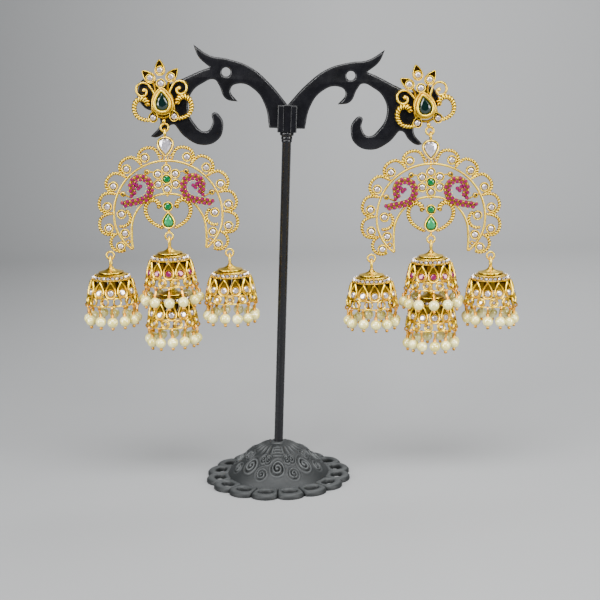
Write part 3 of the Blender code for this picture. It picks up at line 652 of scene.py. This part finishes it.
def stone(name, edge, table, metallic, roughness=0.06):
    """A foil-backed cut stone with small flaws, painted light and shade running from girdle to table."""
    made = Finish(name, table, roughness, metallic, coat=1.0)
    # Painted light and shade: most stones are painted dark at the girdle, the dark green one greener there
    # than at its table
    colour = made.ramp(made.relief(), [(0.1, edge), (0.9, table)])
    flaws = made.ramp(made.noise(0.7, 2.0), [(0.3, (0.62, 0.62, 0.66)), (0.65, (1.0, 1.0, 1.0))])
    made.rough(0.4, roughness, roughness + 0.1)
    made.put(Base_Color=made.mix(0.8, colour, flaws, "MULTIPLY"), Coat_Roughness=0.02)
    return made.material


# Each look: its material, its material slot, and whether its surfaces are shaded smooth
GOLD = (antique_gold("antique_gold", (0.90, 0.64, 0.045), (0.44, 0.28, 0.018), (0.032, 0.015, 0.001)),
        "antique_gold", True)
ROSE_WIRE = (antique_gold("reddish_wire", (0.86, 0.45, 0.04), (0.48, 0.21, 0.015), (0.07, 0.024, 0.003)),
             "antique_gold", True)
BLACK = (gloss_plastic(), "black_gloss", True)
CAST = (cast_metal(), "base_cast", True)
PEARL = (nacre(), "pearl", True)
# Stones: the first colour is painted at the girdle, as shade darker than the table, and on the dark green
# stone as a greener glow
WHITE = (stone("white_stone", (0.16, 0.12, 0.12), (0.74, 0.66, 0.70), 0.7), "clear_stone", False)
CLEAR = (stone("clear_stone", (0.20, 0.16, 0.15), (0.90, 0.86, 0.94), 0.7, 0.04), "clear_stone", False)
RUBY = (stone("ruby", (0.08, 0.003, 0.03), (0.30, 0.008, 0.11), 0.35), "ruby", False)
DARK_RUBY = (stone("dark_ruby", (0.05, 0.003, 0.02), (0.24, 0.010, 0.09), 0.35), "ruby", False)
GREEN = (stone("green_stone", (0.001, 0.025, 0.007), (0.003, 0.16, 0.04), 0.3), "emerald", False)
MINT = (stone("mint_stone", (0.001, 0.04, 0.013), (0.006, 0.32, 0.10), 0.25), "emerald", False)
DARK_GREEN = (stone("dark_green_stone", (0.002, 0.03, 0.012), (0.002, 0.012, 0.010), 0.2), "dark_green",
              False)


def joint_place(name):
    """Where a joint turns, in millimetres."""
    found = next(joint for joint in frame["joints"] if joint["name"] == name)
    return np.array(found["pos_m"], float) / MM


def node_middle(name):
    """The middle of a CAD node's box, in millimetres."""
    low, high = (np.array(corner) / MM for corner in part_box(name))
    return (low + high) / 2


def upright(centre, turn=0.0):
    """The place of an upright drawing: its plane faces the viewer, turned about the vertical."""
    return moved(centre) @ np.array(Matrix.Rotation(-turn, 4, "Y")) @ FACING


def leaning(across, deep, high):
    """A place in the head's leaning frame, whose origin is the pole's foot."""
    tilt = np.array(Matrix.Translation((FOOT_X, 0, 0)) @ Matrix.Rotation(LEAN, 4, "Y"))
    return tilt @ moved((across, deep, high))


def relief_of_dome(turn, share):
    """Height of the dome's casting: eight roses with scrolls between, leaf fans above, steps in front.

    A coil is cos(2 pi distance / width - bearing), the fans a cosine round the dome and the steps a
    sine down it, each under a bell curve.
    """
    angle = np.degrees(turn) + 90
    height = np.zeros_like(share)
    for place in range(8):
        side = (angle - 45 * place + 180) % 360 - 180
        across = side / 45 * ROSE_PITCH
        for middle, middle_share, wide, strong, hand in DOME_COILS:
            dx = across - middle
            dy = (share - middle_share) * DOME_RUN
            far = np.hypot(dx, dy * 0.85)
            coil = np.cos(2 * pi * far / wide - hand * np.arctan2(dy, dx))
            height += strong * coil * np.exp(-(far / (2.3 * wide)) ** 4)
    ribs = np.cos(np.radians(angle * 24)) * np.exp(-((share - 0.22) / 0.09) ** 2)
    front = np.exp(-(((angle + 180) % 360 - 180) / 11) ** 4)
    treads = np.sin(share * DOME_RUN / 0.62 * pi) * np.exp(-((share - 0.23) / 0.13) ** 4)
    return height + 0.22 * ribs * (1 - front) + 0.32 * treads * front


def foot():
    """The dome with its casting, and sixteen pierced petals round it.

    A petal spreads from its oval hole (u) to its sector's edge (v), with a round back.
    """
    section = even(spline(DOME_SECTION, 8), 0.22)
    share = np.linspace(0, 1, len(section))[:, None]
    turn = turns(360)[None, :]
    slope = unit(np.gradient(section, axis=0))
    raised = relief_of_dome(*np.broadcast_arrays(turn, share))
    raised *= np.clip((1 - share) * 12, 0, 1) * np.clip(share * 14, 0, 1)
    rings = round_path(section[:, :1] - slope[:, 1:] * raised, turn, section[:, 1:] + slope[:, :1] * raised)
    floor = rings[-1] * (1, 1, 0)
    tone = np.clip(0.5 + 1.6 * raised, 0, 1)
    dome = loft(np.concatenate([rings, floor[None]]), tips=[(0, 0, DOME_H), (0, 0, 0)],
                relief=np.vstack([tone, tone[-1:]]))
    half = pi / LOBES
    arc = np.linspace(-half, half, 60)
    outer = BASE_R - LOBE_DEPTH * (1 - np.cos(arc / half * pi / 2) ** 0.55)
    inner = DOME_R - 1
    spoke = np.linspace(outer[-1], inner, 20)[:, None]
    edge = np.vstack([round_path(outer, arc)[:, :2], spoke * (cos(half), sin(half)),
                      round_path(inner, arc[::-1])[:, :2], spoke[::-1] * (cos(half), -sin(half))])
    from_hole = edge - (HOLE_CENTRE, 0)
    bearing = np.arctan2(from_hole[:, 1], from_hole[:, 0])
    order = np.argsort(bearing)
    u = turns(40) - pi
    reach = np.interp(u, bearing[order], np.hypot(*from_hole.T)[order], period=2 * pi)
    hole = 1 / np.hypot(np.cos(u) / HOLE_HALVES[0], np.sin(u) / HOLE_HALVES[1])
    v = np.linspace(0, 1, 9)
    bulge = 1 - np.abs(2 * v - 1) ** 3
    levels = list(zip(v, BASE_T * (0.55 + 0.45 * bulge))) + [(1.0, 0.0), (0.0, 0.0)]
    rings = np.stack([round_path(hole + s * (reach - hole), u, z) + (HOLE_CENTRE, 0, 0) for s, z in levels])
    tone = np.append(np.clip(bulge, 0.2, 0.75), [0.2, 0.2])
    petal = loft(rings, closed=True, relief=tone[:, None])
    collar = turned([(0, 10.6), (2.3, 10.6), (2.35, 11.3), (2.0, 11.75), (0, 11.8)], 32, 0.6)
    petals = repeated(petal, spun(turns(LOBES) + half - pi / 2))
    piece("foot_casting", [dome, petals, collar], CAST, "stand", ["stand_base"])


def block(half_width, low, high, thickness, rounding):
    """A rounded rectangular plate."""
    corners = [(-half_width, low), (half_width, low), (half_width, high), (-half_width, high)]
    return slab([even(corners, 0.2, True)], thickness, rounding)


def pole():
    """The leaning pole with its collar rings, and the grooved socket that grips the arms."""
    under = STAND_H - SOCKET_WALL
    section = [(radius, under - down) for radius, down in COLLARS]
    section += [(POLE_R, 40.0), (POLE_R, DOME_H - 1.0), (0, DOME_H - 1.0)]
    wall_y = ARM_T / 2 + 0.15 + SOCKET_WALL / 2
    high = SOCKET_H + SOCKET_WALL
    half = SOCKET_W / 2
    wall = block(half, 0, high, SOCKET_WALL, 0.18)
    band = block(SOCKET_BAND_W, 0, high - 0.25, 0.4, 0.15)
    base = block(half, -SOCKET_WALL / 2, SOCKET_WALL / 2, 2 * wall_y + SOCKET_WALL - 0.02, 0.15)
    parts = [repeated(turned(section, 32, 0.3), leaning(0, 0, 0)),
             repeated(base, leaning(0, 0, under + SOCKET_WALL / 2) @ FACING)]
    for y in (-wall_y, wall_y):
        outside = np.sign(y) * (SOCKET_WALL / 2 + 0.12)
        parts.append(repeated(wall, leaning(0, y, under) @ FACING))
        for x in (-half + SOCKET_BAND_W + 0.15, half - SOCKET_BAND_W - 0.15):
            parts.append(repeated(band, leaning(x, y + outside, under) @ FACING))
    piece("pole_and_socket", parts, BLACK, "stand", ["stand_post"])


def arm_point(side, share):
    """Points of the arms' plane from their shares of reach and rise."""
    share = np.asarray(share, float)
    return np.stack([side * (ARM_SPLIT / 2 + share[..., 0] * (ARM_REACH - ARM_SPLIT / 2)),
                     share[..., 1] * ARM_RISE], -1)


def arm_outline(side):
    """The arm's edge as cubic curves: smooth points lead 0.39 of each span along their mean course,
    and corners a third straight towards their neighbour."""
    shares = np.array(ARM_EDGE) / 1000
    points = arm_point(1, shares)
    sharp = shares[:, 2:] > 0
    ahead = np.roll(points, -1, 0) - points
    length = np.linalg.norm(ahead, axis=1, keepdims=True)
    course = unit(unit(ahead) + np.roll(unit(ahead), 1, 0))
    lead = points + np.where(sharp, ahead / 3, course * length * ARM_LEAD)
    trail = points - np.where(sharp, np.roll(ahead, 1, 0) / 3, course * np.roll(length, 1, 0) * ARM_LEAD)
    t = (np.arange(12) / 12)[None, :, None]
    a, b = points[:, None], lead[:, None]
    c, d = np.roll(trail, -1, 0)[:, None], np.roll(points, -1, 0)[:, None]
    curve = a * (1 - t)**3 + 3 * b * t * (1 - t)**2 + 3 * c * t**2 * (1 - t) + d * t**3
    return (even(curve.reshape(-1, 2), 0.4, closed=True) * (side, 1))[::side]


def arm(name, side, post_share):
    """One scrolled arm of moulded plastic, round at its edges, with its eye and its post hole."""
    eye = circle(EYE_R, 36)[::-1] + arm_point(side, EYE_SHARE)
    hole = circle(POST_HOLE_R, 20)[::-1] + arm_point(side, post_share)
    body = slab([arm_outline(side), eye, hole], ARM_T, ARM_ROUNDING, 6)
    piece(f"arm_{name}", [body], BLACK, "stand", [f"stand_arm_{name}"], leaning(0, 0, STAND_H) @ FACING)


def white_set(radius=WHITE_R, wall=SETTING_WALL, front=0.72):
    """A round white stone and its cup."""
    cup = setting(circle(radius + 0.05, 20), wall, front)
    gem = brilliant(circle(radius), 0.42, front - 0.35)
    return cup, gem


def drop_set(width, height, tip):
    """A drop's cup and its cut stone."""
    cup = setting(drop(width, height, tip), 0.55, 0.95, lip=0.2)
    gem = brilliant(drop(width - 0.1, height - 0.1, tip, 16), 0.45, 0.55, 0.5, 0.6)
    return cup, gem


def stud(name, hinge, turn):
    """The stud: dark drop, crown of three petals, smooth scrolls, milled loops and its ring."""
    middle = hinge + np.array(Matrix.Rotation(-turn, 3, "Y")) @ (0, 0, STUD_HANG)
    place = upright(middle, turn)
    cup, gem = white_set()
    seat = drop(3.85, 5.45)
    top = at(0, 5.2, 0.55)
    gold = [setting(seat, 0.85, 2.15, -0.7, 0.7, 0.25),
            wire(lifted(grown(seat, 1.15), 0.75), 0.3, True, 8, relief=0.8), repeated(cup, top)]
    whites = [repeated(gem, top)]
    for tip, seat_at in STUD_PETALS:
        leaf = at(*seat_at, 0, -np.arctan2(tip[0] - seat_at[0], tip[1] - seat_at[1]))
        gold.append(repeated(setting(drop(2.5, 4.2) + (0, 0.75), 0.34, 0.95, -0.6, 0.15), leaf))
        gold.append(repeated(cup, leaf @ at(0, 0, 0.05, 0, 0.9)))
        whites.append(repeated(gem, leaf @ at(0, 0, 0.1, 0, 0.95)))
    for x, y in STUD_DROPS:
        leaf = at(x, y, 0, 0.35 * np.sign(x))
        gold.append(repeated(setting(drop(2.3, 3.3) + (0, 0.35), 0.32, 0.75, -0.6, 0.1), leaf))
        whites.append(repeated(gem, leaf @ at(0, -0.15, 0.05, 0, 0.92)))
    scroll = wire(lifted(spline(STUD_SCROLL, 8), 0.15), np.linspace(0.32, 0.42, 73), sides=10, flat=1.5)
    curl = repeated(ball(0.62, 14, 9), at(5.2, 3.55, 0.25))
    loop = milled(lifted(spline(STUD_LOOP, 12), 0.1), 0.6, swell=1.75)
    for half in (scroll, curl, loop):
        gold += [half, mirrored(half)]
    tail = -ARM_T - POST_TAIL
    gold += [wire(lifted(spline(STUD_WEB, 8), -0.25), 0.42, sides=8, relief=0.35),
             wire(lifted(spline([(0, -5.2), (0, -6.6)], 6), 0.25), 0.62, sides=12),
             repeated(ring(LINK_R, 0.34, 28, 10), at(0, LINK_R - STUD_HANG)),
             turned([(0, tail), (POST_R, tail), (POST_R, 0), (0, 0)], 16)]
    piece(f"{name}_stud_gold", gold, GOLD, "stand", [f"{name}_stud_frame"], place)
    piece(f"{name}_stud_whites", whites, WHITE, "stand", place=place)
    dark = brilliant(drop(3.75, 5.35, count=16), 0.5, 1.55, 0.5, 0.62)
    piece(f"{name}_stud_dark_drop", [dark], DARK_GREEN, "stand", [f"{name}_stud_stone"], place)


def rim_path():
    """The crescent's outer rim: an arc that draws in over its last 33 degrees to each tip."""
    degrees = np.linspace(-RIM_END, RIM_END, 200)
    share = np.clip((np.abs(degrees) - RIM_DRAW_FROM) / (RIM_END - RIM_DRAW_FROM), 0, 1)
    return np.column_stack(polar(degrees, RIM_R - RIM_DRAW * share ** 1.5))


def bay_path():
    """The inner rim: an arc, then nearly straight down to each tip."""
    turn = np.radians(np.linspace(0, 92, 30))
    arc = np.column_stack([BAY_R * np.sin(turn), BAY_Z + BAY_R * np.cos(turn)])
    half = spline(np.vstack([arc[::5], [(11.35, -7.2)], [polar(RIM_END, RIM_R - RIM_DRAW)]]), 8)
    return np.vstack([(half * (-1, 1))[::-1], half[1:]])


def ruby_motif():
    """A looped band of round rubies in two staggered rows, their gold grains, and the strip behind them."""
    line = even(spline(RUBY_LINE, 10), RUBY_STEP)
    step = unit(np.gradient(line, axis=0))
    across = np.column_stack([-step[:, 1], step[:, 0]])
    hand = np.where(np.arange(len(line)) % 2, 1, -1)[:, None]
    seats = np.vstack([line + RUBY_ROW * hand * across, RUBY_HEART])
    grains = np.vstack([line - (RUBY_ROW + 0.05) * hand * across, line + (RUBY_ROW + 0.72) * hand * across])
    strip = wire(lifted(spline(RUBY_LINE, 10), 0.4), 1.0, sides=12, flat=0.6, square=0.6, relief=0.3)
    pad = wire(lifted(spline(RUBY_PAD, 6), 0.35), 0.6, sides=10, flat=0.9, square=0.6, relief=0.35)
    gold = joined([strip, pad, repeated(ball(0.17, 8, 6), [at(x, y, RUBY_FRONT + 0.22) for x, y in grains])])
    stones = repeated(small_cut(RUBY_R, 0.42),
                      [at(x, y, RUBY_FRONT, 0.4 * i) for i, (x, y) in enumerate(seats)])
    return gold, stones


def crescent(name, hinge):
    """The crescent: rims, milled petals, settings, flower, ruby bands, heart scroll and rings."""
    body = f"{name}_crescent"
    centre = np.array([hinge[0], hinge[1], node_middle(f"{name}_flower_green")[2] - FLOWER_Z])
    place = upright(centre)
    cup, gem = white_set()
    tiny_cup, tiny_gem = white_set(0.46, 0.26, 0.6)
    gold = [wire(lifted(even(path, 0.35)), 0.34, sides=12, flat=1.9, square=0.6, relief=0.8)
            for path in (rim_path(), bay_path())]
    half_gold, half_seats = [], []
    for k in range(PETAL_COUNT):
        middle = PETAL_FIRST + PETAL_STEP * k
        line = np.array([polar(middle + degrees, radius) for degrees, radius in PETAL_LINE])
        half_gold.append(milled(lifted(spline(line, 10))))
        half_seats.append(polar(middle, PETAL_STONE_R))
    half_seats += HORN_STONES
    for middle, radius, start, end, count in HORN_ARCS:
        arc = round_path(radius, np.radians(np.linspace(start, end, count)))
        half_gold.append(milled(arc + (*middle, 0)))
    half_gold.append(milled(lifted(spline(HEART_LINE, 12)), 0.58, swell=1.5))
    for middle, *ends in RING_BEADS:
        half_gold.append(repeated(turned(BEAD, 20, loop=True), at(*middle, 0.15)))
        half_gold += [wire(lifted(spline([middle, end], 6), -0.1), 0.26, sides=8, relief=0.6) for end in ends]
    side_hook = joint_place(f"{name}_right_swing") - centre
    link = ring(LINK_R, WIRE_R)
    half_gold += [repeated(link, at(side_hook[0], side_hook[2] + LINK_R)),
                  repeated(tiny_cup, [at(x, y) for x, y in TINY_STONES]),
                  repeated(cup, [at(x, y) for x, y in half_seats])]
    for part in half_gold:
        gold += [part, mirrored(part)]
    flower = [(FLOWER_R * cos(a), FLOWER_Z + FLOWER_R * sin(a)) for a in np.radians(30 + 60 * np.arange(6))]
    gold.append(repeated(cup, [at(x, y) for x, y in flower]))
    gold.append(repeated(ball(0.42, 10, 7), [at(0, FLOWER_Z + FLOWER_R + 1.8), at(0, 17.0), at(0, 5.9)]))
    seats = half_seats + [(-x, y) for x, y in half_seats] + flower
    whites = [repeated(gem, [at(x, y, 0, 0.3 * i) for i, (x, y) in enumerate(seats)]),
              repeated(tiny_gem, [at(s * x, y) for x, y in TINY_STONES for s in (1, -1)])]
    round_set = setting(circle(GREEN_R + 0.03, 24), 0.42, 0.85), brilliant(circle(GREEN_R), 0.4, 0.5)
    for node, look, (holder, cut) in (("flower_green", GREEN, round_set), ("small_green", GREEN, round_set),
                                      ("emerald", MINT, drop_set(3.1, 4.2, 1)),
                                      ("kundan", CLEAR, drop_set(4.1, 5.1, -1))):
        spot = at(0, node_middle(f"{name}_{node}")[2] - centre[2])
        gold.append(repeated(holder, spot))
        piece(f"{name}_{node}_cut", [repeated(cut, spot)], look, body, [f"{name}_{node}"], place)
    eye_y = hinge[2] - centre[2] + 0.75 - LINK_R
    standing = np.array(Matrix.Rotation(pi / 2, 4, "Y"))
    mid_hook = joint_place(f"{name}_upper_swing")[2] + LINK_R - centre[2]
    stem = lifted([(0, mid_hook + LINK_R + rise) for rise in (0, 0.5, 1.1)])
    ruby_gold, rubies = ruby_motif()
    gold += [repeated(ring(LINK_R, 0.36, 28, 10), at(0, eye_y) @ standing), repeated(link, at(0, mid_hook)),
             wire(stem, 0.5, sides=10), ruby_gold, mirrored(ruby_gold)]
    piece(f"{name}_crescent_gold", gold, GOLD, body, [f"{name}_crescent_frame"], place)
    piece(f"{name}_crescent_whites", whites, WHITE, body, place=place)
    for hand, cuts in (("right", rubies), ("left", mirrored(rubies))):
        piece(f"{name}_rubies_{hand}", [cuts], RUBY, body, [f"{name}_ruby_{hand}"], place)


def bell_radius(height):
    """The bell wall's radius at a height below its ring."""
    levels, radii = np.array(BELL_SECTION).T
    return np.interp(height, levels, radii)


def on_bell(across, height, out):
    """Wrap a flat drawing round the bell: arc length across becomes an angle at its radius."""
    radius = bell_radius(height)
    return round_path(radius + out, across / radius, height)


def bell_seats(azimuths, height, out):
    """Places on the bell's wall: x round it, y up along it, z outwards."""
    rise = 0.5
    lean = np.arctan2(bell_radius(height - rise) - bell_radius(height + rise), 2 * rise)
    c, s = cos(lean), sin(lean)
    return spun(azimuths) @ np.array([[0, -s, c, bell_radius(height) + out], [1, 0, 0, 0],
                                      [0, c, s, height], [0, 0, 0, 1]])


def wall_ring(outline, height, thick):
    """A closed wire drawn on the bell's wall."""
    path = on_bell(outline[:, 0], height + outline[:, 1], 0.0)
    facing = np.clip(0.55 + 0.6 * np.sin(turns(8)), 0, 1)
    return wire(path, thick, True, 8, up=unit(path * (1, 1, 0)), flat=1.7, relief=facing)


def fringe(azimuths, radius, is_upper, chance):
    """Twelve pearls a little out of line, each on a link and a wound wire with a bead below it.

    An upper fringe hangs further out and higher, clear of the bell under it.
    """
    spread = chance.uniform(-1, 1, (BELL_SIDES, 3)) * PEARL_SPREAD
    around = azimuths + spread[:, 0]
    outwards = 0.4 * spread[:, 1] - 0.22
    if is_upper:
        spread[:, 2] = np.abs(spread[:, 2])
        outwards = 0.45 + 0.15 * spread[:, 1]
    spots = round_path(radius + outwards, around, PEARL_Z + spread[:, 2])
    side = [(PEARL_R * sin(a), PEARL_R * cos(a)) for a in np.linspace(0.3, pi - 0.3, 12)]
    orb = turned([(0, 1.56), (0.3, 1.58)] + side + [(0.3, -1.58), (0, -1.56)], 24)
    coil_share = np.linspace(0, 1, 30)
    coil = round_path(0.36, 6 * pi * coil_share, 2.4 - 0.8 * coil_share)
    # Painted shade: each bead's relief falls from 1 at its top to 0.5 at its bottom, so its lower side is
    # painted darker
    bead = ball(0.52, 12, 8, np.linspace(1.0, 0.5, 8))
    wires = []
    for angle, spot in zip(around, spots):
        out = np.array([cos(angle), sin(angle), 0])
        start = out * bell_radius(RIM_HEIGHT) + (0, 0, RIM_HEIGHT - 0.4)
        stem = spline([start - (0, 0, 0.35), (start + spot) * (0.5, 0.5, 0) + (0, 0, -16.6),
                       spot + (0, 0, 1.45)], 5)
        link = moved(start)
        link[:3, :3] = np.column_stack([out, (0, 0, 1), np.cross(out, (0, 0, 1))])
        wires += [wire(stem, 0.27, sides=6, up=out), repeated(ring(0.54, 0.26, 12, 6), link),
                  wire(coil + spot, 0.2, sides=6),
                  repeated(bead, moved(spot - (0, 0, PEARL_R + 0.35)))]
    return [repeated(orb, [moved(spot) for spot in spots])], wires


def bell(name, which, turn, fringe_r, cell_look):
    """A bell: loop, flared cap, stone band, twelve drop cells, a row of rings and a pearl fringe.

    The upper bell also has the rod and the ring that carry the lower bell.
    """
    body = f"{name}_{which}_drop"
    is_upper = which == "upper"
    place = moved(joint_place(f"{name}_{which}_swing") + (0, 0, LINK_R))
    front = -pi / 2 + turn
    azimuths = front + turns(BELL_SIDES)
    between = azimuths + pi / BELL_SIDES
    band_turns = front + turns(BAND_STONES) + pi / BAND_STONES
    loop_path = spline(LOOP_LINE, 8, closed=True)
    loop = wire(np.column_stack([0 * loop_path[:, 0], loop_path]), 0.4, True, 10, up=(1, 0, 0))
    grains = [bell_seats(band_turns + pi / BAND_STONES, BAND_Z + up, 0.2) for up in (0.3, -0.3)]
    gold = [turned(CAP, 40), turned(SHOULDER, 48, loop=True), loop,
            repeated(ball(0.2, 8, 6), np.concatenate(grains))]
    outline = drop(CELL_W, CELL_H, 1, 36)
    backs = np.stack([on_bell(outline[:, 0], CELL_Z + outline[:, 1], out) for out in (-0.1, -0.3)])
    back = loft(backs, tips=[on_bell(0.0, CELL_Z - 0.5, out) for out in (-0.1, -0.3)], relief=0.05)
    spins = spun(azimuths)
    cell_seats = bell_seats(azimuths, CELL_Z - 0.85, 0.0)
    gold += [repeated(wall_ring(outline, CELL_Z, 0.27), spins), repeated(back, spins),
             repeated(wall_ring(circle(1.18, 24), RING_ROW_Z, 0.25), spun(between)),
             repeated(setting(circle(1.03, 16), 0.2, 0.32, -0.35, 0.0, 0.1), cell_seats)]
    for height, thick in ((RIM_HEIGHT, 0.2), (CELL_Z - 2.45, 0.16)):
        gold.append(wire(round_path(bell_radius(height), turns(72), height), thick, True, 6))
    if is_upper:
        gold.append(wire([(0, 0, -5), (0, 0, -8), (0, 0, LINK_R - TIER_DROP)], 0.32, sides=8, up=(0, 1, 0)))
        gold.append(repeated(ring(LINK_R, WIRE_R), moved((0, 0, -TIER_DROP)) @ FACING))
    stones = [repeated(small_cut(0.56, 0.32, 0.4), bell_seats(band_turns, BAND_Z, 0.12))]
    if which != "left":
        ring_seats = bell_seats(between, RING_ROW_Z, 0.0)
        stones.append(repeated(small_cut(0.62, 0.3), ring_seats))
        gold.append(repeated(setting(circle(0.64, 16), 0.22, 0.3, -0.3, 0.0, 0.08), ring_seats))
    cells = repeated(brilliant(circle(1.0), 0.4, 0.12), cell_seats)
    pearls, wires = fringe(azimuths, fringe_r, is_upper, np.random.default_rng(sum(map(ord, name + which))))
    piece(f"{body}_gold", gold, GOLD, body, [f"{name}_{which}_bell"], place)
    piece(f"{body}_band_stones", stones, WHITE, body, place=place)
    piece(f"{body}_cell_stones", [cells], cell_look, body, place=place)
    piece(f"{body}_pearl_fringe", pearls, PEARL, body, [f"{name}_{which}_pearls"], place)
    piece(f"{body}_pearl_wires", wires, ROSE_WIRE, body, place=place)


def earring(name, turn):
    """One whole earring on its bodies."""
    hinge = joint_place(f"{name}_crescent_swing")
    stud(name, hinge, turn)
    crescent(name, hinge)
    for which, bell_turn, fringe_r, cell_look in (
            ("left", 4, FRINGE_R, WHITE), ("right", 15, FRINGE_R, WHITE),
            ("upper", 0, UPPER_FRINGE_R, DARK_RUBY), ("lower", 3, FRINGE_R, WHITE)):
        bell(name, which, radians(bell_turn), fringe_r, cell_look)


def backdrop():
    """A pale floor that curves up into a wall behind, under painted light that falls off to the left."""
    far, high, bend, wide = 420.0, 900.0, 220.0, 1500.0
    turn = np.linspace(0, pi / 2, 24)
    line = np.vstack([[(-900.0, 0.0)],
                      np.column_stack([far + bend * np.sin(turn), bend * (1 - np.cos(turn))]),
                      [(far + bend, high)]])
    k = len(line)
    points = np.vstack([np.column_stack([np.full(k, x), line]) for x in (-wide, wide)])
    side = np.arange(k - 1)
    faces = np.stack([side, side + k, side + k + 1, side + 1], -1)
    made = Finish("backdrop", (0.28, 0.285, 0.29), 0.8)
    # Painted light: the grey is darkest at the left and lightest about 50 mm right of the middle
    across = made.node("SeparateXYZ", Vector=made.coords).outputs["X"]
    place = made.node("MapRange", Value=across, From_Min=-0.25, From_Max=0.25).outputs["Result"]
    made.put(Base_Color=made.ramp(place, [(0.0, (0.20, 0.205, 0.21)), (0.6, (0.30, 0.305, 0.31)),
                                          (1.0, (0.27, 0.275, 0.28))]))
    obj = add_mesh("backdrop", (points, faces, np.zeros((0, 3), int), np.zeros(2 * k)), made.material)


def studio():
    """Soft light from both sides and above, and the camera at the photograph's angle."""
    scene = bpy.context.scene
    world = bpy.data.worlds.new("studio")
    world.use_nodes = True
    sky = world.node_tree.nodes["Background"].inputs
    sky["Color"].default_value = (0.80, 0.82, 0.85, 1)
    sky["Strength"].default_value = 0.05
    scene.world = world
    for name, place, target, width, height, power in SOFTBOXES:
        lamp = bpy.data.lights.new(name, "AREA")
        lamp.shape = "RECTANGLE"
        lamp.size, lamp.size_y = width * MM, height * MM
        lamp.energy = power
        obj = bpy.data.objects.new(name, lamp)
        obj.location = Vector(place) * MM
        obj.rotation_euler = (Vector(target) - Vector(place)).to_track_quat("-Z", "Y").to_euler()
        scene.collection.objects.link(obj)
    lens = bpy.data.cameras.new("camera")
    lens.lens, lens.sensor_width = CAMERA_LENS, 36.0
    lens.clip_start, lens.clip_end = 0.02, 5.0
    camera = bpy.data.objects.new("camera", lens)
    camera.location = Vector(CAMERA_AT) * MM
    camera.rotation_euler = (Matrix.Rotation(pi / 2 - CAMERA_PITCH, 3, "X")
                             @ Matrix.Rotation(-CAMERA_ROLL, 3, "Z")).to_euler()
    scene.collection.objects.link(camera)
    scene.camera = camera


studio()
backdrop()
foot()
pole()
for earring_name, arm_side, post_share, stud_turn in EARRINGS:
    arm(earring_name, arm_side, post_share)
    earring(earring_name, stud_turn)
